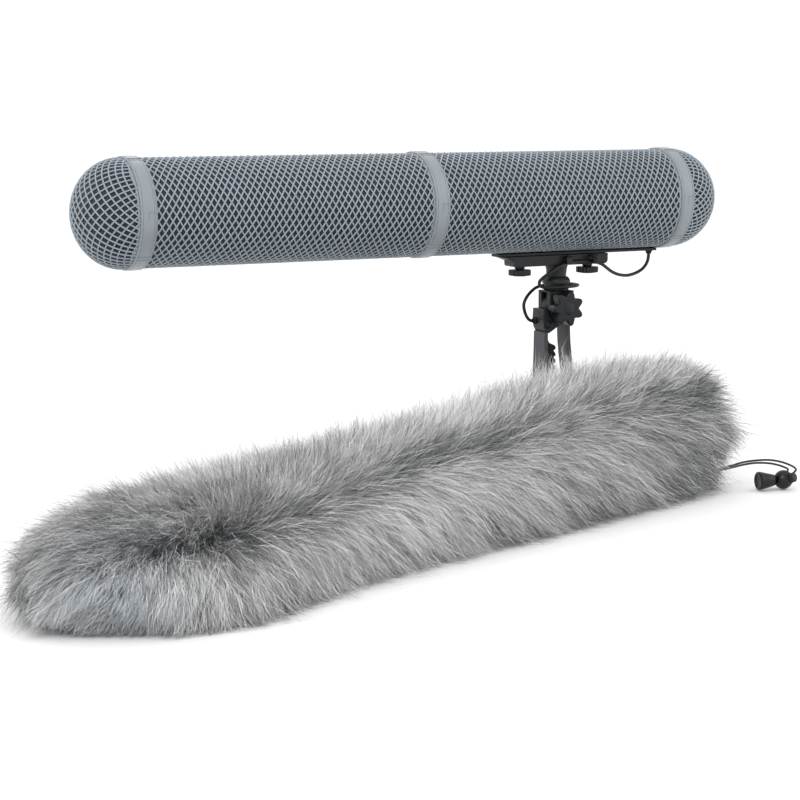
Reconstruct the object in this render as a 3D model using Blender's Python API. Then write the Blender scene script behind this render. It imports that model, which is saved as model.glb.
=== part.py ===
"""Basket windscreen on a pistol grip, with its slip-off fur cover lying beside it.

Frame: origin at the centre of the grip's foot, +X along the basket towards its cable end, +Z up.
Lengths are written in millimetres and turned into metres by MM.
"""
import math

import bmesh
import bpy
from mathutils import Vector

MM = 0.001
GAP = 0.3                    # running gap between neighbouring solids

# Basket: three lock rings on one tube, a dome at each end
AXIS_Z = 280.0
TUBE_R = 51.0
NET_WALL = 1.8
LINING_WALL = 1.0
BAND_R = 52.2
BAND_W = 14.6
BAND_X = (-465.0, -167.3, 118.0)   # left edges of the front, middle and rear rings
FRONT_DOME = 46.4
REAR_DOME = 50.9
ROUND_STEPS = 40

# Keel under the rear tube, and the clamp that rides on it
KEEL_X = (-72.0, 117.4)
KEEL_Z = (225.9, 228.4)
KEEL_HALF = 8.0
WEB_HALF = 3.0
BAR_Z = (235.8, 240.8)
BAR_X = (-425.0, 110.0)
CLAMP_HALF_X = 56.0
CLAMP_HALF_Y = 10.0
CLAMP_Z = (215.0, 225.6)
SCREW_X = (-45.0, 35.5)
SCREW_R = 11.5

# Swivel and grip
PIVOT_Z = 172.0
COLLAR_R = 13.6
KNOB_R = 18.4
HEAD_R = 14.3
GRIP_WIDTH = 22.0
STRAP = 4.4
SOCKET_X = 9.2               # the threaded socket sits behind the middle of the foot

# Fur cover: the fabric tube under the pile
COVER_START = (-652.0, -350.0)
COVER_YAW = math.radians(19.2)
COVER_LENGTH = 766.0
COVER_WALL = 4.0
HEM_WALL = 6.0
NOSE_SHARE = 0.12            # share of the cover's length that its closed, rounded end takes
PI = math.pi


# ---------------------------------------------------------------- helpers

def clear_scene():
    for old in list(bpy.data.objects):
        bpy.data.objects.remove(old, do_unlink=True)


def material(name, color, roughness, metallic=0.0):
    mat = bpy.data.materials.get(name)
    if mat:
        return mat
    mat = bpy.data.materials.new(name)
    mat.use_nodes = True
    bsdf = mat.node_tree.nodes["Principled BSDF"]
    bsdf.inputs["Base Color"].default_value = (*color, 1.0)
    bsdf.inputs["Roughness"].default_value = roughness
    bsdf.inputs["Metallic"].default_value = metallic
    return mat


def net_grey():
    return material("net_grey", (0.36, 0.40, 0.44), 0.5)


def band_grey():
    return material("band_grey", (0.30, 0.33, 0.35), 0.45)


def lining_blue():
    return material("lining_blue", (0.04, 0.055, 0.07), 0.9)


def black_nylon():
    return material("black_nylon", (0.02, 0.02, 0.023), 0.5)


def grip_grey():
    return material("grip_grey", (0.11, 0.115, 0.12), 0.5)


def black_rubber():
    return material("black_rubber", (0.012, 0.012, 0.012), 0.8)


def steel():
    return material("steel", (0.55, 0.55, 0.56), 0.3, 1.0)


def fur_grey():
    return material("fur_grey", (0.45, 0.46, 0.48), 0.95)


def finish_mesh(name, bm, mat, smooth=35.0):
    """Turns a bmesh drawn in millimetres into a closed, named object in metres."""
    bmesh.ops.remove_doubles(bm, verts=bm.verts, dist=0.0005)
    bmesh.ops.recalc_face_normals(bm, faces=bm.faces)
    bmesh.ops.scale(bm, vec=(MM, MM, MM), verts=bm.verts)
    mesh = bpy.data.meshes.new(name)
    bm.to_mesh(mesh)
    bm.free()
    mesh.materials.append(mat)
    mesh.shade_smooth()
    mesh.set_sharp_from_angle(angle=math.radians(smooth))
    obj = bpy.data.objects.new(name, mesh)
    bpy.context.scene.collection.objects.link(obj)
    return obj


def set_origin(obj, place):
    """Moves the object's origin to a point in millimetres, leaving its mesh where it is."""
    shift = Vector(place) * MM
    for vert in obj.data.vertices:
        vert.co -= shift
    obj.location = shift


def box(name, low, high, mat, bevel=0.0):
    bm = bmesh.new()
    bmesh.ops.create_cube(bm, size=1.0)
    size = [high[i] - low[i] for i in range(3)]
    mid = [(high[i] + low[i]) / 2 for i in range(3)]
    bmesh.ops.scale(bm, vec=size, verts=bm.verts)
    bmesh.ops.translate(bm, vec=mid, verts=bm.verts)
    if bevel:
        bmesh.ops.bevel(bm, geom=bm.edges, offset=bevel, segments=2, profile=0.5, affect="EDGES", material=-1)
    return finish_mesh(name, bm, mat)


def turned(name, profile, axis, centre, mat, steps=ROUND_STEPS, smooth=35.0):
    """Spins a closed profile of (along, radius) points about an axis through centre."""
    bm = bmesh.new()
    along = {"X": Vector((1, 0, 0)), "Y": Vector((0, 1, 0)), "Z": Vector((0, 0, 1))}[axis]
    side = {"X": Vector((0, 0, 1)), "Y": Vector((0, 0, 1)), "Z": Vector((1, 0, 0))}[axis]
    base = Vector(centre)
    ring = [bm.verts.new(base + along * a + side * r) for a, r in profile]
    edges = []
    for i, vert in enumerate(ring):
        following = ring[(i + 1) % len(ring)]
        if profile[i][1] > 0 or profile[(i + 1) % len(ring)][1] > 0:
            edges.append(bm.edges.new((vert, following)))
    bmesh.ops.spin(bm, geom=ring + edges, cent=base, axis=along, angle=2 * PI, steps=steps, use_merge=True)
    return finish_mesh(name, bm, mat, smooth)


def extruded(name, outline, axis, low, high, mat, bevel=0.0):
    """Extrudes a closed outline along an axis; the outline's pair is the two other axes in X, Y, Z order."""
    spot = {"X": lambda a, b: (low, a, b), "Y": lambda a, b: (a, low, b), "Z": lambda a, b: (a, b, low)}[axis]
    along = {"X": (1, 0, 0), "Y": (0, 1, 0), "Z": (0, 0, 1)}[axis]
    bm = bmesh.new()
    face = bm.faces.new([bm.verts.new(spot(a, b)) for a, b in outline])
    grown = bmesh.ops.extrude_face_region(bm, geom=[face])
    moved = [item for item in grown["geom"] if isinstance(item, bmesh.types.BMVert)]
    bmesh.ops.translate(bm, vec=Vector(along) * (high - low), verts=moved)
    bmesh.ops.recalc_face_normals(bm, faces=bm.faces)
    if bevel:
        rim = [edge for edge in bm.edges if abs((edge.verts[1].co - edge.verts[0].co).dot(Vector(along))) < 0.01]
        bmesh.ops.bevel(bm, geom=rim, offset=bevel, segments=1, profile=0.5, affect="EDGES", material=-1)
    return finish_mesh(name, bm, mat)


def strip_outline(path, width):
    """Outline of a strap of even width that follows a path of points."""
    left, right = [], []
    for i, point in enumerate(path):
        before = Vector(path[max(i - 1, 0)])
        after = Vector(path[min(i + 1, len(path) - 1)])
        run = (after - before).normalized()
        normal = Vector((-run.y, run.x)) * width / 2
        left.append(tuple(Vector(point) + normal))
        right.append(tuple(Vector(point) - normal))
    return left + right[::-1]


def smooth_route(points, spacing):
    """Catmull-Rom curve through the route's points, read at an even spacing."""
    pts = [Vector(p) for p in points]
    pts = [pts[0] * 2 - pts[1]] + pts + [pts[-1] * 2 - pts[-2]]
    fine = []
    for i in range(1, len(pts) - 2):
        a, b, c, d = pts[i - 1:i + 3]
        for k in range(24):
            t = k / 24
            fine.append(0.5 * (2 * b + (c - a) * t + (2 * a - 5 * b + 4 * c - d) * t ** 2
                               + (3 * b - a - 3 * c + d) * t ** 3))
    fine.append(pts[-2])
    route, walked = [fine[0]], 0.0
    for a, b in zip(fine, fine[1:]):
        walked += (b - a).length
        if walked >= spacing:
            route.append(b)
            walked = 0.0
    if (route[-1] - fine[-1]).length < spacing * 0.5:
        route.pop()
    return route + [fine[-1]]


def cord(name, points, diameter, mat):
    """A round cord as a bevelled poly curve with filled caps."""
    route = smooth_route(points, diameter * 2.2)
    curve = bpy.data.curves.new(name, "CURVE")
    curve.dimensions = "3D"
    curve.bevel_depth = diameter / 2 * MM
    curve.bevel_resolution = 2
    curve.use_fill_caps = True
    spline = curve.splines.new("POLY")
    spline.points.add(len(route) - 1)
    for slot, place in zip(spline.points, route):
        slot.co = (*(place * MM), 1.0)
    curve.materials.append(mat)
    obj = bpy.data.objects.new(name, curve)
    bpy.context.scene.collection.objects.link(obj)
    return obj


def cut(obj, cutter):
    """Cuts one solid out of another with an exact Boolean modifier, and hides the cutter."""
    mod = obj.modifiers.new(cutter.name, "BOOLEAN")
    mod.operation = "DIFFERENCE"
    mod.solver = "EXACT"
    mod.object = cutter
    cutter.hide_render = True
    cutter.display_type = "WIRE"


def arc(centre, radius, start, end, count):
    """Points on an arc, angles in degrees."""
    span = [math.radians(start + (end - start) * i / count) for i in range(count + 1)]
    return [(centre[0] + radius * math.cos(t), centre[1] + radius * math.sin(t)) for t in span]


# ---------------------------------------------------------------- basket

def sleeve(name, x0, x1, outer, wall, mat):
    profile = [(x0, outer), (x1, outer), (x1, outer - wall), (x0, outer - wall)]
    return turned(name, profile, "X", (0, 0, AXIS_Z), mat)


def dome(name, base_x, depth, way, outer, wall, mat):
    """Half-ellipsoid shell whose rim stands at base_x; way is +1 or -1 along X."""
    count = 7
    angles = [PI / 2 * i / count for i in range(count + 1)]
    outside = [(base_x + way * depth * math.sin(t), outer * math.cos(t)) for t in angles]
    inner, short = outer - wall, depth - wall
    inside = [(base_x + way * short * math.sin(t), inner * math.cos(t)) for t in angles]
    outside[-1] = (outside[-1][0], 0.0)
    inside[-1] = (inside[-1][0], 0.0)
    return turned(name, outside + inside[::-1], "X", (0, 0, AXIS_Z), mat)


def lock_ring(name, x0, mat):
    """Outer ring of a bayonet joint: a flat band with a small lip at each edge."""
    x1 = x0 + BAND_W
    inner = TUBE_R - 2.4
    profile = [(x0, inner), (x0, BAND_R - 0.5), (x0 + 1.0, BAND_R), (x1 - 1.0, BAND_R),
               (x1, BAND_R - 0.5), (x1, inner)]
    return turned(name, profile, "X", (0, 0, AXIS_Z), mat)


def build_basket():
    front, middle, rear = BAND_X
    for name, x0 in (("front_lock_ring", front), ("middle_lock_ring", middle), ("rear_lock_ring", rear)):
        lock_ring(name, x0, band_grey())
    spans = (("front", front + BAND_W + GAP, middle - GAP), ("rear", middle + BAND_W + GAP, rear - GAP))
    for side, x0, x1 in spans:
        net = sleeve(side + "_tube_net", x0, x1, TUBE_R, NET_WALL, net_grey())
        lining_r = TUBE_R - NET_WALL - GAP
        lining = sleeve(side + "_tube_lining", x0, x1, lining_r, LINING_WALL, lining_blue())
        if side == "rear":
            slot_low = (KEEL_X[0] - 0.5, -WEB_HALF - 0.5, AXIS_Z - TUBE_R - 3)
            slot_high = (rear + 5, WEB_HALF + 0.5, AXIS_Z - TUBE_R + 9)
            slot = box("keel_slot_cutter", slot_low, slot_high, black_nylon())
            cut(net, slot)
            cut(lining, slot)
    caps = (("front", front - GAP, FRONT_DOME - GAP, -1), ("rear", rear + BAND_W + GAP, REAR_DOME - GAP, 1))
    for side, x0, depth, way in caps:
        dome(side + "_dome_net", x0, depth, way, TUBE_R, NET_WALL, net_grey())
        inner = NET_WALL + GAP
        dome(side + "_dome_lining", x0, depth - inner, way, TUBE_R - inner, LINING_WALL, lining_blue())


def build_keel():
    """Keel plate under the tube, with the web that carries the suspension bar inside."""
    w, h = WEB_HALF, KEEL_HALF
    outline = [(-h, KEEL_Z[0]), (h, KEEL_Z[0]), (h, KEEL_Z[1]), (w, KEEL_Z[1]),
               (w, BAR_Z[0] - GAP), (-w, BAR_Z[0] - GAP), (-w, KEEL_Z[1]), (-h, KEEL_Z[1])]
    extruded("keel_plate", outline, "X", KEEL_X[0], KEEL_X[1], black_nylon())
    box("suspension_bar", (BAR_X[0], -6, BAR_Z[0]), (BAR_X[1], 6, BAR_Z[1]), black_nylon())


def build_suspension():
    """Two springy W-shaped cradles on the bar, each with a clip for the microphone."""
    base = BAR_Z[1] + GAP
    for name, x0 in (("front", -330.0), ("rear", 10.0)):
        half = [(0, base + 2), (14, base + 2.5), (27, base + 9), (37, base + 24), (39.5, AXIS_Z + 2),
                (34, AXIS_Z + 18), (26, AXIS_Z + 20), (21, AXIS_Z + 10), (17.5, AXIS_Z)]
        path = [(-a, b) for a, b in half[:0:-1]] + half
        extruded(name + "_cradle", strip_outline(path, 3.2), "X", x0, x0 + 9, black_rubber())
        outer = arc((0, AXIS_Z), 15.2, 130, 410, 20)
        inner = arc((0, AXIS_Z), 12.4, 410, 130, 20)
        extruded(name + "_mic_clip", outer + inner, "X", x0 - 1, x0 + 10, black_nylon())


# ---------------------------------------------------------------- clamp

def build_clamp():
    lo, hi = CLAMP_Z
    x, y = CLAMP_HALF_X, CLAMP_HALF_Y
    outline = [(-x - 16, hi), (-x - 9, hi - 1.2), (-x - 4, hi - 3.2), (-x, hi - 5), (-x, lo + 2.5)]
    outline += arc((-x + 2.5, lo + 2.5), 2.5, 180, 270, 3)[1:]
    outline += arc((x - 4, lo + 4), 4, 270, 360, 4)
    outline += [(x, hi)]
    extruded("clamp_block", outline, "Y", -y, y, black_nylon())
    for name, sx in zip(("front_thumbscrew", "rear_thumbscrew"), SCREW_X):
        top = lo - GAP
        profile = [(top, 0), (top, 5.2), (top - 2.4, 4.6), (top - 2.6, SCREW_R - 2), (top - 3.6, SCREW_R),
                   (top - 7.2, SCREW_R), (top - 8.6, SCREW_R - 2), (top - 8.6, 0)]
        screw = turned(name, profile, "Z", (sx, -2.5, 0), black_nylon(), steps=28)
        set_origin(screw, (sx, -2.5, top - 5))
    ribs = [(lo + 1, 0), (lo + 1, 3.4)]
    for i in range(4):
        z = lo + 2.2 + i * 2.1
        ribs += [(z, 3.4), (z + 0.3, 4.0), (z + 1.2, 4.0), (z + 1.5, 3.4)]
    ribs += [(hi - 0.6, 3.4), (hi - 0.6, 0)]
    turned("cable_post", ribs, "Z", (SCREW_X[1], -y - 8.2, 0), black_nylon(), steps=16)
    box("post_bracket", (SCREW_X[1] - 3, -y - 3.9, hi - 2.6), (SCREW_X[1] + 3, -y - GAP, hi - 0.6),
        black_nylon())
    hook = [(-y - GAP, hi - 1.0), (-y - GAP, hi - 5.2), (-y - 5.2, hi - 5.2), (-y - 5.2, hi - 9.2),
            (-y - 7.4, hi - 9.2), (-y - 7.4, hi - 2.6), (-y - 5.8, hi - 1.0)]
    extruded("cable_hook", hook, "X", 2.0, 8.5, black_nylon())


def build_stem():
    top = CLAMP_Z[0] - GAP
    stem = [(top, 0), (top, 11.6), (top - 4, 10.6), (203.5, 10.0), (203.5, 0)]
    turned("stem", stem, "Z", (0, 0, 0), black_nylon(), steps=32)
    r = COLLAR_R
    collar = [(203.2, 0), (203.2, 11.0), (202.0, 12.6), (199.5, r + 0.6), (196.2, r + 0.6), (195.6, r - 1.0),
              (191.6, r - 1.0), (191.0, r - 0.9), (189.3, r - 1.2), (189.3, 0)]
    turned("swivel_collar", collar, "Z", (0, 0, 0), black_nylon(), steps=32)


# ---------------------------------------------------------------- swivel and grip

def pivot_bore(name, y0, y1):
    """Cutter for the pivot's running bore between two faces."""
    profile = [(y0, 0), (y0, 3.3), (y1, 3.3), (y1, 0)]
    return turned(name, profile, "Y", (0, 0, PIVOT_Z), black_nylon(), steps=20)


def build_swivel():
    """A forked head under the collar, which turns on the tongue of the grip's yoke."""
    r = HEAD_R
    outline = [(-r, 189.0)] + arc((0, PIVOT_Z), r, 180, 360, 16) + [(r, 189.0)]
    head = extruded("swivel_head", outline, "Y", -11.6, 11.6, black_nylon(), bevel=0.6)
    slot = box("head_slot_cutter", (-r - 3, -5.3, PIVOT_Z - r - 3), (r + 3, 5.3, 187.5), black_nylon())
    cut(head, slot)
    cut(head, pivot_bore("head_bore_cutter", -15, 15))
    tongue = turned("yoke_tongue", [(-5, 3.3), (-5, r + 0.5), (5, r + 0.5), (5, 3.3)], "Y", (0, 0, PIVOT_Z),
                    black_nylon(), steps=32)
    set_origin(head, (0, 0, PIVOT_Z))
    set_origin(tongue, (0, 0, PIVOT_Z))
    yoke = [(-21.0, 171.0), (-21.6, 160), (-20.5, 152), (-17.5, 146.4), (-14.0, 146.4), (-8, 150), (-2, 154.0),
            (7, 156.8), (13, 157.2), (13.2, 161.0)]
    yoke += arc((0, PIVOT_Z), r + 0.9, -46, -176, 14)
    extruded("yoke_block", yoke, "Y", -11.0, 11.0, black_nylon())
    bolt = [(-18.0, 0), (-18.0, 3.0), (12.0, 3.0), (12.0, 6.2), (15.5, 5.6), (15.5, 0)]
    turned("pivot_bolt", bolt, "Y", (0, 0, PIVOT_Z), steel(), steps=20)
    washer = [(-12.8, 3.3), (-12.8, 8.5), (-11.9, 8.5), (-11.9, 3.3)]
    turned("knob_washer", washer, "Y", (0, 0, PIVOT_Z), steel(), steps=24)
    build_star_knob()
    rivet = [(-12.8, 0), (-12.8, 2.6), (-12.0, 3.8), (-11.3, 3.8), (-11.3, 0)]
    turned("yoke_screw", rivet, "Y", (-15.0, 0, 155.0), steel(), steps=20)
    grommet = [(-24.6, 2.2), (-24.6, 3.0), (-21.9, 3.6), (-21.9, 2.2)]
    turned("cable_grommet", grommet, "X", (0, 4.5, 158.3), black_rubber(), steps=20)


def build_star_knob():
    """Seven-lobed clamping knob on the pivot bolt, its back towards the yoke."""
    lobes, steps, depth = 7, 8, 5.8
    outline = []
    for i in range(lobes * steps):
        turn = 2 * PI * i / (lobes * steps)
        swell = 0.5 + 0.5 * math.cos(lobes * (turn - math.radians(26)))
        radius = KNOB_R - depth + depth * swell ** 0.8
        outline.append((radius * math.cos(turn), PIVOT_Z + radius * math.sin(turn)))
    knob = extruded("star_knob", outline, "Y", -25.5, -13.1, black_nylon(), bevel=1.1)
    cut(knob, pivot_bore("knob_bore_cutter", -19.0, -10.0))
    set_origin(knob, (0, -19.3, PIVOT_Z))


def build_grip():
    half = GRIP_WIDTH / 2
    front = [(-17.6, 146.0), (-17.7, 138), (-18.0, 120), (-18.6, 100), (-19.4, 80), (-19.4, 60), (-17.6, 42),
             (-15.5, 33), (-15.5, 26.3)]
    extruded("grip_front_strap", strip_outline(front, STRAP), "Y", -half, half, grip_grey())
    rear = [(9.4, 156.4), (9.4, 150), (10.2, 135), (12.2, 118), (15.2, 98), (17.2, 75), (17.2, 55), (15.2, 35),
            (15.2, 26.3)]
    extruded("grip_rear_strap", strip_outline(rear, STRAP), "Y", -10.0, 10.0, grip_grey())
    rail = [(-15.1, 142.0), (-12.6, 136.5)]
    for i in range(5):
        z = 133.5 - i * 6.8
        rail += [(-6.2, z), (-4.6, z - 1.8), (-4.9, z - 4.4), (-7.2, z - 5.2)]
    rail += [(-12.5, 97), (-15.9, 93), (-15.3, 120)]
    extruded("finger_rest", rail, "Y", -half + 2.5, half - 2.5, black_rubber())
    base = [(-21.5, 0), (20.5, 0), (20.5, 22), (16.5, 26), (-17.5, 26), (-21.5, 22)]
    block = extruded("grip_base", base, "Y", -13.5, 13.5, grip_grey(), bevel=1.2)
    socket = turned("socket_cutter", [(-1, 0), (-1, 6.4), (16.4, 6.4), (16.4, 0)], "Z", (SOCKET_X, 0, 0),
                    steel(), steps=24)
    cut(block, socket)
    insert = [(0.4, 4.8), (0.4, 6.1), (16.0, 6.1), (16.0, 4.8)]
    turned("threaded_insert", insert, "Z", (SOCKET_X, 0, 0), steel(), steps=24)


# ---------------------------------------------------------------- cables and cords

TAIL_CABLE = [(113, 0, 222.1), (112.6, 0, 217), (110, -0.5, 211.5), (104.5, -1, 206.2), (95.5, -2, 202.5),
              (84, -4, 200.8), (72, -6, 202.3), (62, -8, 206), (54, -10.5, 210.5), (46.5, -12.05, 214.8),
              (36, -12.05, 217.6), (22, -12.2, 218.2), (5, -12.8, 217.2), (-5, -14, 214.3), (-14, -15, 210),
              (-22, -14.2, 205.2), (-27, -12, 200.2), (-26.5, -11.5, 195.6), (-20.5, -13, 193.3),
              (-9, -16.4, 193.3), (5, -16.6, 193.6), (16.5, -13, 193.9), (22.5, -5, 193.9), (22, 6, 193.8),
              (14, 14, 193.6), (0, 17.2, 193), (-13, 15.5, 191.3), (-23.5, 10, 187.8), (-31, 6.5, 182.6),
              (-34.6, 6, 176), (-34, 5.8, 169), (-31.6, 5.2, 162.8), (-28.4, 4.6, 159), (-24.9, 4.5, 158.3)]
CABLE_D = 3.4
CORD_D = 2.2
LOCK = Vector((152.9, -182.7, 9.8))
LOCK_R = 9.4
BUTTON_START = 8.2           # where the sprung button begins, from the lock's centre
BUTTON_TRAVEL = 3.0
LOCK_WAY = Vector((-0.981, 0.194, 0.0))
CORD_SIDE = Vector((0.887, -0.462, 0.0))    # level directions along and across the arched drawcords
CORD_BACK = Vector((0.462, 0.887, 0.0))
BUTTON_WAY = (CORD_SIDE * 0.75 - CORD_BACK * 0.6 + Vector((0, 0, 0.3))).normalized()
DRAWCORD_UPPER = [(-67.5, 3.5, 9), (-52, 10, 11.5), (-38, 15.5, 14.3), (-26, 16.5, 16), (-13, 13.5, 17.2),
                  (-2, 9.5, 16.3), (7.5, 5.5, 13.5), (12.6, 2.5, 10.4), (11.5, 1.0, 7.9), (8.4, 0.6, 5.6)]
DRAWCORD_LOWER = [(-67.5, 0, 8.5), (-52, 6, 10.5), (-38, 11, 12.8), (-26, 12, 14.4), (-14, 9, 14.8),
                  (-5, 5, 13.8), (1.5, 2.0, 11.8), (4.4, 0.2, 9.6)]


def beside_lock(point):
    side, back, up = point
    return LOCK + CORD_SIDE * side + CORD_BACK * back + Vector((0, 0, up))


def on_lock(obj):
    """Turns a solid drawn about the origin's X axis onto the cord lock's own axis."""
    obj.location = LOCK * MM
    obj.rotation_euler = (0.0, 0.0, math.atan2(LOCK_WAY.y, LOCK_WAY.x))
    return obj


def build_cords():
    cord("tail_cable", TAIL_CABLE, CABLE_D, black_rubber())
    gland = [(222.4, 2.2), (222.4, 3.0), (225.6, 3.6), (225.6, 2.2)]
    turned("cable_gland", gland, "Z", (113, 0, 0), black_rubber(), steps=20)
    cord("drawcord_upper", [beside_lock(p) for p in DRAWCORD_UPPER], CORD_D, black_rubber())
    cord("drawcord_lower", [beside_lock(p) for p in DRAWCORD_LOWER], CORD_D, black_rubber())
    ball = [(-LOCK_R * math.cos(PI * i / 10), LOCK_R * math.sin(PI * i / 10)) for i in range(11)]
    ball[0], ball[-1] = (-LOCK_R, 0.0), (LOCK_R, 0.0)
    body = on_lock(turned("cord_lock_body", ball, "X", (0, 0, 0), black_nylon(), steps=24, smooth=60))
    plunger = [(0, 0), (0, 4.7), (4.2, 4.7), (5.6, 3.6), (5.6, 0)]
    button = turned("cord_lock_button", plunger, "X", (0, 0, 0), black_nylon(), steps=20)
    recess = [(0, 0), (0, 5.1), (12, 5.1), (12, 0)]
    pocket = turned("lock_recess_cutter", recess, "X", (0, 0, 0), black_nylon(), steps=20)
    for solid, start in ((button, BUTTON_START), (pocket, BUTTON_START - BUTTON_TRAVEL - GAP)):
        solid.location = (LOCK + BUTTON_WAY * start) * MM
        solid.rotation_euler = BUTTON_WAY.to_track_quat("X", "Z").to_euler()
    cut(body, pocket)
    start = LOCK_R + GAP
    bell = [(start, 0), (start, 5.4), (start + 2.5, 6.2), (start + 12, 8.6), (start + 16.5, 9.2),
            (start + 18, 8.8), (start + 18, 0)]
    on_lock(turned("cord_bell_end", bell, "X", (0, 0, 0), black_nylon(), steps=24))


# ---------------------------------------------------------------- fur cover

def cover_section(along):
    """Half width, height and forward shift of the fabric tube, which slumps wider near its closed end."""
    slump = math.exp(-((along - 0.12) / 0.11) ** 2)
    width = 59.0 - 4.0 * along + 13.0 * slump
    height = 70.0 + 14.0 * along + 24.0 * max(0.0, (along - 0.55) / 0.45) ** 1.2
    nose = min(along / NOSE_SHARE, 1.0)
    swell = math.sqrt(max(1.0 - (1.0 - nose) ** 2, 0.0))
    return width * (0.22 + 0.78 * swell), height * (0.40 + 0.60 * swell), 8.0 * slump


def cover_point(along, degrees, inset):
    """One point on the fabric tube: a round top on a flat, resting underside; 90 degrees is the crest."""
    width, height, shift = cover_section(min(max(along, 0.0), 1.0))
    ahead = Vector((math.cos(COVER_YAW), math.sin(COVER_YAW), 0))
    across = Vector((-ahead.y, ahead.x, 0))
    turn = math.radians(degrees)
    side = (width - inset) * math.cos(turn) - shift
    lift = (height / 2 - inset) * math.copysign(abs(math.sin(turn)) ** 0.86, math.sin(turn))
    centre = Vector((*COVER_START, height / 2)) + ahead * COVER_LENGTH * along
    return centre + across * side + Vector((0, 0, lift))


def section_ring(along, inset, count=32):
    return [cover_point(along, 360 * i / count, inset) for i in range(count)]


def panel_section(along, start, end, count=14):
    """Closed outline of a fabric strip's thickness between two places round the tube."""
    span = [start + (end - start) * i / count for i in range(count + 1)]
    outside = [cover_point(along, t, 0.0) for t in span]
    return outside + [cover_point(along, t, COVER_WALL) for t in reversed(span)]


def lofted(name, sections, mat, capped):
    """Skins a run of sections; capped closes its two ends, and otherwise the run joins up on itself."""
    bm = bmesh.new()
    rings = [[bm.verts.new(p) for p in ring] for ring in sections]
    following = rings[1:] if capped else rings[1:] + rings[:1]
    for a, b in zip(rings, following):
        for i in range(len(a)):
            j = (i + 1) % len(a)
            bm.faces.new((a[i], a[j], b[j], b[i]))
    if capped:
        bm.faces.new(rings[0][::-1])
        bm.faces.new(rings[-1])
    return finish_mesh(name, bm, mat, smooth=70)


def build_cover():
    """A cap for the closed end, two long strips sewn along the sides, and the turned hem of the mouth."""
    nose = [0.0, 0.008, 0.025, 0.05, 0.08, NOSE_SHARE]
    outer = [section_ring(s, 0.0) for s in nose]
    inner = [section_ring(max(s, 0.02), COVER_WALL) for s in nose[2:]]
    lofted("cover_nose", outer + inner[::-1], fur_grey(), capped=True)
    seam = math.degrees(GAP / 2 / 60.0)
    shares = [NOSE_SHARE + GAP / COVER_LENGTH, 0.19, 0.28, 0.40, 0.52, 0.64, 0.74, 0.84, 0.93, 1.0]
    for name, start, end in (("cover_upper_panel", 0.0, 180.0), ("cover_under_panel", 180.0, 360.0)):
        lofted(name, [panel_section(s, start + seam, end - seam) for s in shares], fur_grey(), capped=True)
    start, width = 1.0 + GAP / COVER_LENGTH, 9.0 / COVER_LENGTH
    hem = [section_ring(start, 0.0), section_ring(start + width, 0.0),
           section_ring(start + width, HEM_WALL), section_ring(start, HEM_WALL)]
    lofted("cover_hem", hem, black_nylon(), capped=False)


def main():
    clear_scene()
    build_basket()
    build_keel()
    build_suspension()
    build_clamp()
    build_stem()
    build_swivel()
    build_grip()
    build_cords()
    build_cover()


main()
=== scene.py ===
"""Basket windscreen on a pistol grip, with its slip-off long-pile fur cover lying in front of it.

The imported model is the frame, and every piece here stands in for a node of it or rests on one of its bodies.
Lengths in the code are millimetres and become metres through MM.
"""

import math

import bmesh
import bpy
import numpy as np
from mathutils import Matrix, Vector


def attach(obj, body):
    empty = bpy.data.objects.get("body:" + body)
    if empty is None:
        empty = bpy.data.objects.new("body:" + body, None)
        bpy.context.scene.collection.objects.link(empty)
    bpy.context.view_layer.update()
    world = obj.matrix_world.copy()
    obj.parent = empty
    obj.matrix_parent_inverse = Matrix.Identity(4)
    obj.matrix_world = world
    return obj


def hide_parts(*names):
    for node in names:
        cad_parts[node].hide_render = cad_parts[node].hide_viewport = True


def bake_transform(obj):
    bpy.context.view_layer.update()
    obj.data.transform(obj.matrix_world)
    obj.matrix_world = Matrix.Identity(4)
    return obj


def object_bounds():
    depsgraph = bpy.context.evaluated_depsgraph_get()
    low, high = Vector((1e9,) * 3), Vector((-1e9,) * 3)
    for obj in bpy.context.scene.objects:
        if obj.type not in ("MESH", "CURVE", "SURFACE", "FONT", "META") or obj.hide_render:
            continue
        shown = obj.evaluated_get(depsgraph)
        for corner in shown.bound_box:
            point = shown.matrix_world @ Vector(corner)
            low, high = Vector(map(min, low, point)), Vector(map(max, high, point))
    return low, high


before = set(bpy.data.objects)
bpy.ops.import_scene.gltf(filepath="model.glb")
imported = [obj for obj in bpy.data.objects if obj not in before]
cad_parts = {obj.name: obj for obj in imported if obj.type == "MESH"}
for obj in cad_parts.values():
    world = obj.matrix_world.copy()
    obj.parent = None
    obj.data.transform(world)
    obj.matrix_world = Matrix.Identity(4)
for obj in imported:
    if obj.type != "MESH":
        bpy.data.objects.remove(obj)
CAD_LOW, CAD_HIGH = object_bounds()

bl_info = {
    "name": "Basket windscreen and fur cover",
    "version": (1, 0, 0),
    "blender": (4, 5, 0),
    "location": "3D View > Sidebar > Windscreen",
    "description": "Builds the net basket, its grip and cable, and the loose fur cover",
    "category": "Object",
}

MM = 0.001
PI = math.pi

# Basket
AXIS_Z = 280.0
TUBE_R = 51.0
BAND_R = 52.2
BAND_W = 14.6
UP, BACK = (0, 0, 1), (0, 1, 0)
GAUZE_R = 49.0
THREADS = 1.1                # spacing of the gauze's threads
BANDS = {"front": -465.0, "middle": -167.3, "rear": 118.0}
DOMES = {"front": (-465.3, -1, 46.1), "rear": (132.9, 1, 50.6)}      # rim, way along X, depth
TUBES = {"front": (-450.1, -167.6), "rear": (-152.4, 117.7)}
KEEL_START = -72.0

# Swivel
PIVOT_Z = 172.0

# Fur cover's fabric tube
COVER_START = (-652.0, -350.0)
COVER_YAW = math.radians(19.2)
COVER_LENGTH = 766.0
NOSE_SHARE = 0.12
PILE_PIECES = 8              # the pile is cut into this many meshes along the cover

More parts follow.
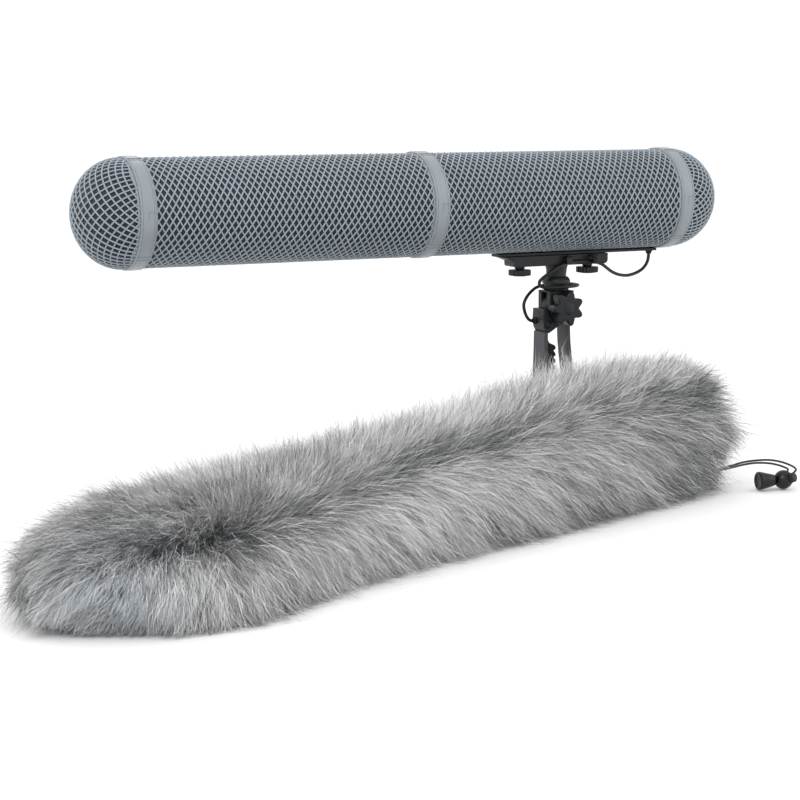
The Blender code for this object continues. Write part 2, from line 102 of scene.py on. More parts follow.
# Cable and drawcords
TAIL_CABLE = [(113, 0, 222.1), (112.6, 0, 217), (110, -0.5, 211.5), (104.5, -1, 206.2), (95.5, -2, 202.5),
              (84, -4, 200.8), (72, -6, 202.3), (62, -8, 206), (54, -10.5, 210.5), (46.5, -12.05, 214.8),
              (36, -12.05, 217.6), (22, -12.2, 218.2), (5, -12.8, 217.2), (-5, -14, 214.3), (-14, -15, 210),
              (-22, -14.2, 205.2), (-27, -12, 200.2), (-26.5, -11.5, 195.6), (-20.5, -13, 193.3),
              (-9, -16.4, 193.3), (5, -16.6, 193.6), (16.5, -13, 193.9), (22.5, -5, 193.9), (22, 6, 193.8),
              (14, 14, 193.6), (0, 17.2, 193), (-13, 15.5, 191.3), (-23.5, 10, 187.8), (-31, 6.5, 182.6),
              (-34.6, 6, 176), (-34, 5.8, 169), (-31.6, 5.2, 162.8), (-28.4, 4.6, 159), (-24.9, 4.5, 158.3)]
HOOK_POINT = 12              # the cable's point that lies in the clamp's hook
LOCK = Vector((152.9, -182.7, 9.8))
LOCK_R = 9.4
LOCK_WAY = Vector((-0.981, 0.194, 0.0)).normalized()
CORD_SIDE = Vector((0.887, -0.462, 0.0))
CORD_BACK = Vector((0.462, 0.887, 0.0))
BUTTON_WAY = (CORD_SIDE * 0.75 - CORD_BACK * 0.6 + Vector((0, 0, 0.3))).normalized()
BUTTON_START = 8.2           # from the lock's centre
DRAWCORD_UPPER = [(-67.5, 3.5, 9), (-52, 10, 11.5), (-38, 15.5, 14.3), (-26, 16.5, 16), (-13, 13.5, 17.2),
                  (-2, 9.5, 16.3), (7.5, 5.5, 13.5), (12.6, 2.5, 10.4), (11.5, 1.0, 7.9), (8.4, 0.6, 5.6)]
DRAWCORD_LOWER = [(-67.5, 0, 8.5), (-52, 6, 10.5), (-38, 11, 12.8), (-26, 12, 14.4), (-14, 9, 14.8),
                  (-5, 5, 13.8), (1.5, 2.0, 11.8), (4.4, 0.2, 9.6)]


def linear(hex_colour):
    """Turns an sRGB hex colour into linear red, green, blue and alpha."""
    parts = [int(hex_colour[i:i + 2], 16) / 255 for i in (1, 3, 5)]
    return tuple(c / 12.92 if c <= 0.04045 else ((c + 0.055) / 1.055) ** 2.4 for c in parts) + (1.0,)


# ---------------------------------------------------------------- settings a user would change

def colour_setting(name, description, hex_colour):
    return bpy.props.FloatVectorProperty(name=name, description=description, subtype="COLOR", size=4,
                                         min=0.0, max=1.0, default=linear(hex_colour))


class WINDSCREEN_PG_basket(bpy.types.PropertyGroup):
    strands: bpy.props.IntProperty(
        name="Strands each way", description="Net strands in each of a tube's two families",
        default=30, min=8, max=60)
    turn: bpy.props.FloatProperty(
        name="One full turn", description="Length along the tube in which a strand goes round once",
        default=0.202, min=0.05, unit="LENGTH")
    strand: bpy.props.FloatProperty(
        name="Strand thickness", description="Diameter of one net strand",
        default=0.0016, min=0.0005, unit="LENGTH")
    dome_pitch: bpy.props.FloatProperty(
        name="Dome mesh", description="Spacing of the square net on the domes", default=0.00665, min=0.003,
        unit="LENGTH")
    net_colour: colour_setting("Net", "Colour of the moulded net", "#8E979F")
    ring_colour: colour_setting("Lock rings", "Colour of the bayonet rings", "#878D92")
    lining_colour: colour_setting("Lining", "Colour of the gauze behind the net", "#232C35")


class WINDSCREEN_PG_grip(bpy.types.PropertyGroup):
    nylon_colour: colour_setting("Nylon", "Colour of the clamp, swivel and screws", "#16181B")
    knob_colour: colour_setting("Knob", "Colour of the tilt knob", "#0E1015")
    strap_colour: colour_setting("Straps", "Colour of the grip's straps and foot", "#3E4145")
    rubber_colour: colour_setting("Rubber", "Colour of the finger rest and cradles", "#0D0E0F")
    cable_diameter: bpy.props.FloatProperty(
        name="Cable", description="Diameter of the tail cable", default=0.0034, min=0.001, unit="LENGTH")
    drawcord_diameter: bpy.props.FloatProperty(
        name="Drawcord", description="Diameter of the cover's drawcord",
        default=0.0022, min=0.001, unit="LENGTH")


class WINDSCREEN_PG_fur(bpy.types.PropertyGroup):
    pile: bpy.props.FloatProperty(
        name="Pile length", description="Length of an average strand", default=0.040, min=0.01, max=0.08,
        unit="LENGTH")
    strand: bpy.props.FloatProperty(
        name="Strand width", description="Width of a strand at its root", default=0.00040, min=0.0001,
        unit="LENGTH")
    locks: bpy.props.IntProperty(
        name="Locks", description="Tufts that the strands gather into", default=7000, min=500)
    strands: bpy.props.IntProperty(
        name="Strands", description="Strands over the whole cover", default=312000, min=10000)
    backing_colour: colour_setting("Backing", "Colour of the knitted cloth under the pile", "#4A4E52")
    floor_colour: colour_setting("Floor", "Colour of the studio floor", "#F4F4F4")


# ---------------------------------------------------------------- mesh helpers

def finish_piece(name, bm, mat, body, smooth=35.0, nodes=()):
    """Closes a bmesh drawn in millimetres into an object in metres that rides on a body."""
    bmesh.ops.remove_doubles(bm, verts=bm.verts, dist=0.0005)
    bmesh.ops.recalc_face_normals(bm, faces=bm.faces)
    bmesh.ops.scale(bm, vec=(MM, MM, MM), verts=bm.verts)
    mesh = bpy.data.meshes.new(name)
    bm.to_mesh(mesh)
    bm.free()
    mesh.shade_smooth()
    mesh.set_sharp_from_angle(angle=math.radians(smooth))
    return settle(name, mesh, mat, body, nodes)


def settle(name, mesh, mat, body, nodes=()):
    """Puts a mesh in the scene and says which body carries it, which nodes it stands for."""
    obj = bpy.data.objects.new(name, mesh)
    bpy.context.scene.collection.objects.link(obj)
    if mat:
        mesh.materials.clear()
        mesh.materials.append(mat)
    if nodes:
        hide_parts(*nodes)
    if body:
        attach(obj, body)
    return obj


def spun(profile, steps=96, closed=True):
    """Spins a (along, radius) profile about the X axis through the origin."""
    bm = bmesh.new()
    verts = [bm.verts.new((a, 0.0, r)) for a, r in profile]
    pairs = list(zip(verts, verts[1:] + verts[:1])) if closed else list(zip(verts, verts[1:]))
    edges = [bm.edges.new(pair) for pair in pairs if max(pair[0].co.z, pair[1].co.z) > 0]
    bmesh.ops.spin(bm, geom=verts + edges, cent=(0, 0, 0), axis=(1, 0, 0), angle=2 * PI, steps=steps,
                   use_merge=True)
    bmesh.ops.remove_doubles(bm, verts=bm.verts, dist=0.0005)
    return bm


def place_along(bm, axis, where):
    """Turns a shape drawn about X onto another axis and moves it to its place."""
    turn = Vector((1, 0, 0)).rotation_difference(Vector(axis)).to_matrix()
    bmesh.ops.rotate(bm, verts=bm.verts, cent=(0, 0, 0), matrix=turn)
    bmesh.ops.translate(bm, vec=where, verts=bm.verts)
    return bm


def join_into(target, source):
    """Adds one bmesh to another and frees it."""
    mesh = bpy.data.meshes.new("joining")
    source.to_mesh(mesh)
    source.free()
    target.from_mesh(mesh)
    bpy.data.meshes.remove(mesh)


def block(low, high, bevel, segments):
    bm = bmesh.new()
    bmesh.ops.create_cube(bm, size=1.0)
    bmesh.ops.scale(bm, vec=[high[i] - low[i] for i in range(3)], verts=bm.verts)
    bmesh.ops.translate(bm, vec=[(high[i] + low[i]) / 2 for i in range(3)], verts=bm.verts)
    bmesh.ops.bevel(bm, geom=bm.edges, offset=bevel, segments=segments, profile=0.5, affect="EDGES",
                    material=-1)
    return bm


def refined(node, mat, body, bevel=0.5, segments=3, angle=28.0, tuck=0.0):
    """A copy of a CAD node, merged and with rounded edges, that stands for it; tuck lengthens its top."""
    bm = bmesh.new()
    bm.from_mesh(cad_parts[node].data)
    bmesh.ops.remove_doubles(bm, verts=bm.verts, dist=0.00001)
    bmesh.ops.dissolve_limit(bm, angle_limit=math.radians(1.0), verts=bm.verts, edges=bm.edges)
    top = max(v.co.z for v in bm.verts)
    crown = [v for v in bm.verts if v.co.z > top - 0.6 * MM]
    bmesh.ops.translate(bm, vec=(0, 0, tuck * MM), verts=crown)
    mesh = bpy.data.meshes.new(node + "_finished")
    bm.to_mesh(mesh)
    bm.free()
    mesh.shade_smooth()
    mesh.set_sharp_from_angle(angle=math.radians(angle))
    obj = settle(mesh.name, mesh, mat, body, (node,))
    edge = obj.modifiers.new("rounded edges", "BEVEL")
    edge.width = bevel * MM
    edge.segments = segments
    edge.limit_method = "ANGLE"
    edge.angle_limit = math.radians(angle)
    edge.use_clamp_overlap = True
    edge.harden_normals = True
    return obj


def smooth_route(points, spacing):
    """Catmull-Rom curve through a route's points, read at an even spacing."""
    pts = [Vector(p) for p in points]
    pts = [pts[0] * 2 - pts[1]] + pts + [pts[-1] * 2 - pts[-2]]
    fine = []
    for i in range(1, len(pts) - 2):
        a, b, c, d = pts[i - 1:i + 3]
        for k in range(24):
            t = k / 24
            fine.append(0.5 * (2 * b + (c - a) * t + (2 * a - 5 * b + 4 * c - d) * t ** 2
                               + (3 * b - a - 3 * c + d) * t ** 3))
    fine.append(pts[-2])
    route, walked = [fine[0]], 0.0
    for a, b in zip(fine, fine[1:]):
        walked += (b - a).length
        if walked >= spacing:
            route.append(b)
            walked = 0.0
    if (route[-1] - fine[-1]).length < spacing * 0.5:
        route.pop()
    return route + [fine[-1]]


def strands_mesh(name, lines, diameter, resolution=1, cyclic=False):
    """Round strands along lines of points in millimetres, as one mesh."""
    curve = bpy.data.curves.new(name, "CURVE")
    curve.dimensions = "3D"
    curve.bevel_depth = diameter / 2
    curve.bevel_resolution = resolution
    curve.use_fill_caps = True
    for line in lines:
        spline = curve.splines.new("POLY")
        spline.points.add(len(line) - 1)
        spline.points.foreach_set("co", [c for p in line for c in (p[0] * MM, p[1] * MM, p[2] * MM, 1.0)])
        spline.use_smooth = True
        spline.use_cyclic_u = cyclic
    holder = bpy.data.objects.new(name + "_line", curve)
    bpy.context.scene.collection.objects.link(holder)
    bpy.context.view_layer.update()
    mesh = bpy.data.meshes.new_from_object(holder.evaluated_get(bpy.context.evaluated_depsgraph_get()))
    mesh.name = name
    bpy.data.objects.remove(holder, do_unlink=True)
    bpy.data.curves.remove(curve)
    mesh.shade_smooth()
    return mesh


def turned_piece(name, profile, steps, way, place, mat, body, node=""):
    """Turns a profile about a direction through a place, and finishes it as one piece for one node."""
    shape = place_along(spun(profile, steps), way, place)
    return finish_piece(name, shape, mat, body, nodes=(node,) if node else ())


# ---------------------------------------------------------------- finishes

def add(tree, kind, inputs=None, **settings):
    """Adds one node, with its settings, its values and the sockets it reads."""
    node = tree.nodes.new(kind)
    for key, value in settings.items():
        setattr(node, key, value)
    for key, value in (inputs or {}).items():
        if isinstance(value, bpy.types.NodeSocket):
            tree.links.new(value, node.inputs[key])
        else:
            node.inputs[key].default_value = value
    return node


def principled(name, **values):
    """A Principled material with its uniform values set on the shader's own sockets."""
    mat = bpy.data.materials.get(name)
    if mat:
        return mat, None, None
    mat = bpy.data.materials.new(name)
    mat.use_nodes = True
    shader = mat.node_tree.nodes["Principled BSDF"]
    for key, value in values.items():
        shader.inputs[key.replace("_", " ").title().replace("Ior", "IOR")].default_value = value
    return mat, mat.node_tree, shader


def shade(colour, factor):
    return tuple(min(c * factor, 1.0) for c in colour[:3]) + (1.0,)


def tinted(tree, shader, amount, dark, light, start=0.0, end=1.0):
    """Drives the base colour from one tone to another, with an amount from 0 to 1."""
    ramp = add(tree, "ShaderNodeValToRGB", {"Fac": amount})
    first, last = ramp.color_ramp.elements
    first.position, last.position = start, end
    first.color, last.color = dark, light
    tree.links.new(ramp.outputs["Color"], shader.inputs["Base Color"])


def raised(tree, shader, height, strength, distance, **settings):
    """Gives the surface a relief of the given height field."""
    bump = add(tree, "ShaderNodeBump", {"Height": height, "Strength": strength, "Distance": distance},
               **settings)
    tree.links.new(bump.outputs["Normal"], shader.inputs["Normal"])


def glossed(tree, shader, amount, low, high):
    """Varies the roughness between two values with an amount from 0 to 1."""
    gloss = add(tree, "ShaderNodeMapRange", {"Value": amount, "To Min": low, "To Max": high})
    tree.links.new(gloss.outputs["Result"], shader.inputs["Roughness"])


def noise(tree, place, grain, detail, **inputs):
    """Noise with features of about a given size in millimetres."""
    values = {"Vector": place, "Scale": 1 / (grain * MM), "Detail": detail, **inputs}
    return add(tree, "ShaderNodeTexNoise", values).outputs["Fac"]


def moulded(name, colour, roughness, grain, relief, drift, **values):
    """Injection-moulded finish: a fine grain in mm, a broad drift of tone, and gloss varying with both."""
    values.setdefault("specular_ior_level", 0.32)
    mat, tree, shader = principled(name, **values)
    if tree is None:
        return mat
    place = add(tree, "ShaderNodeTexCoord").outputs["Object"]
    fine = noise(tree, place, grain, 3.0, Roughness=0.6)
    broad = noise(tree, place, 28, 3.0)
    both = add(tree, "ShaderNodeMath", {0: fine, 1: broad}, operation="ADD").outputs[0]
    tone = add(tree, "ShaderNodeMapRange",
               {"Value": both, "From Min": 0.7, "From Max": 1.3}).outputs["Result"]
    tinted(tree, shader, tone, shade(colour, 1 - drift), shade(colour, 1 + drift))
    glossed(tree, shader, tone, roughness - 0.06, roughness + 0.08)
    raised(tree, shader, fine, 0.5, relief * MM)
    return mat


def net_plastic(scene):
    # Moulded acetal net: satin, slightly waxy, with a faint drift of tone between strands
    return moulded("satin_moulded_acetal_net", scene.windscreen_basket.net_colour, 0.42, 1.4, 0.05, drift=0.07,
                   ior=1.48)


def ring_plastic(scene):
    # Moulded ABS rings: smoother than the net, so that they catch a broad soft highlight
    return moulded("satin_moulded_abs_ring", scene.windscreen_basket.ring_colour, 0.36, 0.7, 0.02, drift=0.05,
                   ior=1.53)


def black_nylon(scene):
    # Glass-filled nylon from a spark-eroded mould: an even fine grain and a low satin sheen
    return moulded("eroded_mould_black_nylon", scene.windscreen_grip.nylon_colour, 0.46, 0.5, 0.05, drift=0.16,
                   ior=1.53)


def knob_nylon(scene):
    # Nylon knob polished by hands: darker and glossier than the clamp
    return moulded("hand_polished_black_nylon", scene.windscreen_grip.knob_colour, 0.34, 0.6, 0.03, drift=0.14,
                   ior=1.53)


def strap_nylon(scene):
    # Grey glass-filled nylon straps: coarse eroded grain with faint flow marks
    return moulded("eroded_mould_grey_nylon", scene.windscreen_grip.strap_colour, 0.50, 0.6, 0.06, drift=0.12,
                   ior=1.53)


def soft_rubber(scene):
    # Moulded elastomer: matt, dusty, and slightly uneven
    return moulded("moulded_matt_elastomer", scene.windscreen_grip.rubber_colour, 0.72, 0.9, 0.08, drift=0.22,
                   ior=1.50)


def cable_jacket():
    # Extruded soft PVC: smooth along its run with a long, narrow highlight
    return moulded("extruded_soft_pvc", linear("#0F1012"), 0.38, 1.2, 0.02, drift=0.15, ior=1.52)


def plated_steel():
    # Turned and zinc-plated steel: fine rings of the tool round its axis
    mat, tree, shader = principled("turned_zinc_plated_steel", metallic=1.0)
    if tree is None:
        return mat
    place = add(tree, "ShaderNodeTexCoord").outputs["Object"]
    spread = add(tree, "ShaderNodeMapping", {"Vector": place, "Scale": (2.0, 40.0, 2.0)}).outputs["Vector"]
    rings = add(tree, "ShaderNodeTexNoise", {"Vector": spread, "Scale": 60.0, "Detail": 4.0}).outputs["Fac"]
    tinted(tree, shader, rings, linear("#9C9EA1"), linear("#C9CBCD"))
    glossed(tree, shader, rings, 0.22, 0.40)
    return mat


def blackened_steel():
    # Oxide-blackened steel screw: dark, with a soft metallic edge and a slightly uneven oil finish
    return moulded("oxide_blackened_steel", linear("#2B2C2E"), 0.40, 0.8, 0.02, drift=0.2, metallic=0.8)


def woven_gauze(scene):
    # Plain-weave polyester gauze: threads 1.1 mm apart, coarser than the cloth so that they show
    mat, tree, shader = principled("plain_weave_polyester_gauze", roughness=0.85, sheen_weight=0.25,
                                   sheen_roughness=0.5)
    if tree is None:
        return mat
    place = add(tree, "ShaderNodeTexCoord").outputs["Object"]
    low = add(tree, "ShaderNodeMapping",
              {"Vector": place, "Location": (0, 0, -AXIS_Z * MM)}).outputs["Vector"]
    axes = add(tree, "ShaderNodeSeparateXYZ", {"Vector": low}).outputs
    turn = add(tree, "ShaderNodeMath", {0: axes["Y"], 1: axes["Z"]}, operation="ARCTAN2").outputs[0]
    round_way = add(tree, "ShaderNodeMath", {0: turn, 1: GAUZE_R * MM}, operation="MULTIPLY").outputs[0]
    threads = []
    for run in (axes["X"], round_way):
        phase = add(tree, "ShaderNodeMath", {0: run, 1: 2 * PI / (THREADS * MM)},
                    operation="MULTIPLY").outputs[0]
        threads.append(add(tree, "ShaderNodeMath", {0: phase}, operation="SINE").outputs[0])
    weave = add(tree, "ShaderNodeMath", {0: threads[0], 1: threads[1]}, operation="MULTIPLY").outputs[0]
    uneven = noise(tree, place, 16, 3.0)
    tone = add(tree, "ShaderNodeMath", {0: weave, 1: 0.22, 2: uneven}, operation="MULTIPLY_ADD").outputs[0]
    colour = scene.windscreen_basket.lining_colour
    tinted(tree, shader, tone, shade(colour, 0.72), shade(colour, 1.35), 0.25, 0.85)
    raised(tree, shader, weave, 0.6, 0.2 * MM)
    return mat


def braided_nylon():
    # Braided nylon cord: the plait's raised bundles, about 0.9 mm across
    mat, tree, shader = principled("braided_nylon_cord", roughness=0.62, sheen_weight=0.3)
    if tree is None:
        return mat
    place = add(tree, "ShaderNodeTexCoord").outputs["Object"]
    plait = add(tree, "ShaderNodeTexVoronoi", {"Vector": place, "Scale": 1 / (0.9 * MM)}).outputs["Distance"]
    tinted(tree, shader, plait, linear("#26272A"), linear("#0B0B0D"))
    raised(tree, shader, plait, 0.7, 0.3 * MM, invert=True)
    return mat


def knitted_backing(scene):
    # Warp-knitted polyester backing: rows of loops 1.6 mm apart, soft and without gloss
    mat, tree, shader = principled("warp_knitted_polyester_backing", roughness=0.92, sheen_weight=0.3,
                                   sheen_roughness=0.6)
    if tree is None:
        return mat
    place = add(tree, "ShaderNodeTexCoord").outputs["Object"]
    along = add(tree, "ShaderNodeMapping",
                {"Vector": place, "Rotation": (0, 0, -COVER_YAW)}).outputs["Vector"]
    rows = add(tree, "ShaderNodeTexWave", {"Vector": along, "Scale": 0.31 / (1.6 * MM) / 2, "Distortion": 1.5,
                                           "Detail": 2.0, "Detail Scale": 2.0}).outputs["Fac"]
    fuzz = noise(tree, place, 2.5, 4.0)
    both = add(tree, "ShaderNodeMath", {0: rows, 1: 0.5, 2: fuzz}, operation="MULTIPLY_ADD").outputs[0]
    colour = scene.windscreen_fur.backing_colour
    tinted(tree, shader, both, shade(colour, 0.6), shade(colour, 1.4), 0.3)
    raised(tree, shader, both, 0.6, 0.5 * MM)
    return mat


FUR_TONES = ["#33373B", "#505357", "#6E7173", "#8C8E8F", "#A8A8A8", "#C1C1C0", "#D9D9D8", "#F1F1F0",
             "#98A3AE", "#CDD6DE"]       # the last two are the bluish cast of the closed end


def fur_tones():
    """Crimped acrylic pile in its tones, which stand for the pile's dyed colour and also for painted shade and
    light; each strand takes its own run of them.
    """
    return [principled("crimped_acrylic_pile_%d" % (number + 1), base_color=linear(tone), roughness=0.55,
                       specular_ior_level=0.35)[0] for number, tone in enumerate(FUR_TONES)]


# ---------------------------------------------------------------- stage

class WINDSCREEN_OT_stage(bpy.types.Operator):
    """Sets out the pale floor, the soft studio lights and the camera"""
    bl_idname = "windscreen.stage"
    bl_label = "Studio stage"

    def execute(self, context):
        scene = context.scene
        bm = bmesh.new()
        bmesh.ops.create_grid(bm, x_segments=1, y_segments=1, size=9000.0)
        bmesh.ops.translate(bm, vec=(0, 0, -0.3), verts=bm.verts)
        mat, tree, shader = principled("matt_painted_board", roughness=0.9, base_color=(0.9, 0.9, 0.9, 1.0))
        place = add(tree, "ShaderNodeTexCoord").outputs["Object"]
        cloud = add(tree, "ShaderNodeTexNoise", {"Vector": place, "Scale": 0.6, "Detail": 2.0}).outputs["Fac"]
        colour = scene.windscreen_fur.floor_colour
        tinted(tree, shader, cloud, colour, shade(colour, 0.985))
        floor = finish_piece("studio_floor", bm, mat, None)

        world = bpy.data.worlds.new("studio_light")
        world.use_nodes = True
        world.node_tree.nodes["Background"].inputs["Color"].default_value = (1.0, 1.0, 1.0, 1.0)
        world.node_tree.nodes["Background"].inputs["Strength"].default_value = 1.12
        scene.world = world
        scene.view_settings.view_transform = "Standard"

        softboxes = (("key_softbox", (-1.7, -1.6, 2.1), 1.5, 26.0), ("fill_softbox", (1.9, -1.3, 1.1), 1.4, 7.0),
                     ("back_softbox", (0.2, 1.9, 1.9), 1.8, 10.0))
        for name, where, size, power in softboxes:
            light = bpy.data.lights.new(name, "AREA")
            light.shape = "DISK"
            light.size = size
            light.energy = power
            lamp = bpy.data.objects.new(name, light)
            lamp.location = where
            aim = Vector((-0.15, -0.1, 0.15)) - Vector(where)
            lamp.rotation_euler = aim.to_track_quat("-Z", "Y").to_euler()
            scene.collection.objects.link(lamp)

        data = bpy.data.cameras.new("studio_camera")
        data.lens = 90.0
        data.sensor_width = 36.0
        data.clip_end = 60.0
        camera = bpy.data.objects.new("studio_camera", data)
        camera.location = (-1.0815, -1.7324, 0.3912)
        pitch = math.radians(8.82)
        aim = Vector((0.4617 * math.cos(pitch), 0.8870 * math.cos(pitch), -math.sin(pitch)))
        camera.rotation_euler = aim.to_track_quat("-Z", "Y").to_euler()
        scene.collection.objects.link(camera)
        scene.camera = camera
        return {"FINISHED"}


# ---------------------------------------------------------------- cords

def beside_lock(point):
    side, back, up = point
    return LOCK + CORD_SIDE * side + CORD_BACK * back + Vector((0, 0, up))


class WINDSCREEN_OT_tail_cable(bpy.types.Operator):
    """Runs the tail cable from the basket's gland through the hook and round the collar to the grip"""
    bl_idname = "windscreen.tail_cable"
    bl_label = "Tail cable"

    def execute(self, context):
        diameter = context.scene.windscreen_grip.cable_diameter
        route = smooth_route(TAIL_CABLE, 2.4)
        hook = Vector(TAIL_CABLE[HOOK_POINT])
        split = min(range(len(route)), key=lambda i: (route[i] - hook).length)
        parts = (("tail_cable_upper", route[:split + 1], ("basket", "head"), (105, 0, 212), (48, -10, 212)),
                 ("tail_cable_lower", route[split:], ("head", "grip"), (-30, 7, 188), (-28, 5, 162)))
        for number, (name, line, bodies, start, end) in enumerate(parts):
            mesh = strands_mesh(name, [line], diameter, resolution=3)
            obj = settle(name, mesh, cable_jacket(), None, ("tail_cable",) if number == 0 else ())
            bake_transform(obj)
        rubber = soft_rubber(context.scene)
        gland = [(0, 1.75), (0, 2.5), (-2.4, 3.2), (-3.0, 3.7), (-3.9, 3.7), (-3.9, 1.75)]
        turned_piece("cable_gland_boot", gland, 48, (0, 0, -1), (113, 0, 222.0), rubber, "basket",
                     "cable_gland")
        grommet = [(-24.6, 1.75), (-24.6, 2.6), (-24.0, 3.1), (-22.6, 3.6), (-21.8, 3.6), (-21.8, 1.75)]
        turned_piece("cable_grommet_boot", grommet, 48, (1, 0, 0), (0, 4.5, 158.3), rubber, "grip",
                     "cable_grommet")
        return {"FINISHED"}


class WINDSCREEN_OT_drawcord(bpy.types.Operator):
    """Lays the cover's drawcord out of its mouth, with its ball lock, sprung button and bell end"""
    bl_idname = "windscreen.drawcord"
    bl_label = "Drawcord and lock"

    def execute(self, context):
        scene = context.scene
        diameter = scene.windscreen_grip.drawcord_diameter
        seam = LOCK_R * 1.008
        ball = [(-LOCK_R * math.cos(PI * i / 24), LOCK_R * math.sin(PI * i / 24)) for i in range(25)]
        ball[0], ball[-1] = (-LOCK_R, 0.0), (LOCK_R, 0.0)
        ball[12:13] = [(-0.35, LOCK_R), (-0.3, seam), (0.3, seam), (0.35, LOCK_R)]
        shape = place_along(spun(ball, 64), LOCK_WAY, LOCK)
        collar = spun([(BUTTON_START - 1.5, 4.95), (BUTTON_START - 1.5, 5.9), (BUTTON_START - 0.2, 5.9),
                       (BUTTON_START + 0.3, 5.4), (BUTTON_START + 0.3, 4.95)], 48)
        join_into(shape, place_along(collar, BUTTON_WAY, LOCK))
        body = finish_piece("cord_lock_ball", shape, knob_nylon(scene), "cord_lock", nodes=("cord_lock_body",))
        cap = [(0, 0), (0, 4.6), (3.6, 4.7), (4.6, 4.5), (5.3, 3.9), (5.5, 2.9), (5.2, 1.6), (5.1, 0)]
        button = turned_piece("cord_lock_plunger", cap, 48, BUTTON_WAY, LOCK + BUTTON_WAY * BUTTON_START,
                              black_nylon(scene), "cord_lock_button", "cord_lock_button")
        rim = [(0, 0), (0, 4.8), (0.5, 5.4), (3.0, 6.2), (11.5, 8.1), (12.2, 8.1), (12.6, 8.5), (15.5, 9.0),
               (16.8, 9.15), (17.6, 8.9), (18.0, 8.2), (18.0, 7.2), (17.4, 6.9), (17.2, 6.4), (17.2, 0)]
        bell = turned_piece("cord_bell_tip", rim, 64, LOCK_WAY, LOCK + LOCK_WAY * (LOCK_R + 0.3),
                            knob_nylon(scene), "cover", "cord_bell_end")
        runs = (("drawcord_upper_strand", "drawcord_upper", DRAWCORD_UPPER,
                 ((0, 3.0), (6, 1.6), (11, 1.4), (16, 1.3))),
                ("drawcord_lower_strand", "drawcord_lower", DRAWCORD_LOWER,
                 ((1, -0.6), (6, -1.3), (11, -1.4), (16, -1.4))))
        for number, (name, node, points, through_bell) in enumerate(runs):
            tail = [tuple(LOCK + LOCK_WAY * d + Vector((0, 0, up))) for d, up in through_bell]
            line = smooth_route([beside_lock(p) for p in points] + tail, 1.8)
            obj = settle(name, strands_mesh(name, [line], diameter, resolution=2), braided_nylon(), "cover",
                         (node,))
        return {"FINISHED"}


# ---------------------------------------------------------------- basket

def on_axis(bm):
    """Moves a shape drawn about the origin to the basket's axis."""
    bmesh.ops.translate(bm, vec=(0, 0, AXIS_Z), verts=bm.verts)
    return bm


class WINDSCREEN_OT_lock_rings(bpy.types.Operator):
    """Turns the three bayonet lock rings, with their lips, split lines and catch marks"""
    bl_idname = "windscreen.lock_rings"
    bl_label = "Lock rings"

    def execute(self, context):
        mat = ring_plastic(context.scene)
        bodies = {"front": "front_ring", "middle": "basket", "rear": "rear_ring"}
        for side, x0 in BANDS.items():
            r, w = BAND_R, BAND_W
            profile = [(0, 48.7), (0, r - 0.9), (0.25, r - 0.45), (0.8, r - 0.15), (1.5, r - 0.12),
                       (1.75, r - 0.5), (2.05, r - 0.5), (2.3, r - 0.1), (4.5, r), (w / 2, r + 0.04), (w - 4.5, r),
                       (w - 2.3, r - 0.1), (w - 2.05, r - 0.5), (w - 1.75, r - 0.5), (w - 1.5, r - 0.12),
                       (w - 0.8, r - 0.15), (w - 0.25, r - 0.45), (w, r - 0.9), (w, 48.7)]
            shape = spun([(x0 + a, b) for a, b in profile], 128)
            for third in (0.0, 120.0, 240.0):
                marks = ((137.0, 0.9, w - 0.9, 0.5, 0.75), (141.0, 1.2, w - 1.2, 0.35, 0.3),
                         (86.0, w / 2, w - 0.6, 0.3, 0.5), (90.0, w / 2 - 0.25, w / 2 + 0.25, 3.6, 0.4))
                for turn, start, end, half, proud in marks:
                    catch = block((x0 + start, -half, r - 0.5), (x0 + end, half, r + proud), 0.1, 1)
                    bmesh.ops.rotate(catch, verts=catch.verts, cent=(0, 0, 0),
                                     matrix=Matrix.Rotation(math.radians(turn + third), 3, "X"))
                    join_into(shape, catch)
            finish_piece(side + "_bayonet_ring", on_axis(shape), mat, bodies[side],
                         nodes=(side + "_lock_ring",))
        return {"FINISHED"}


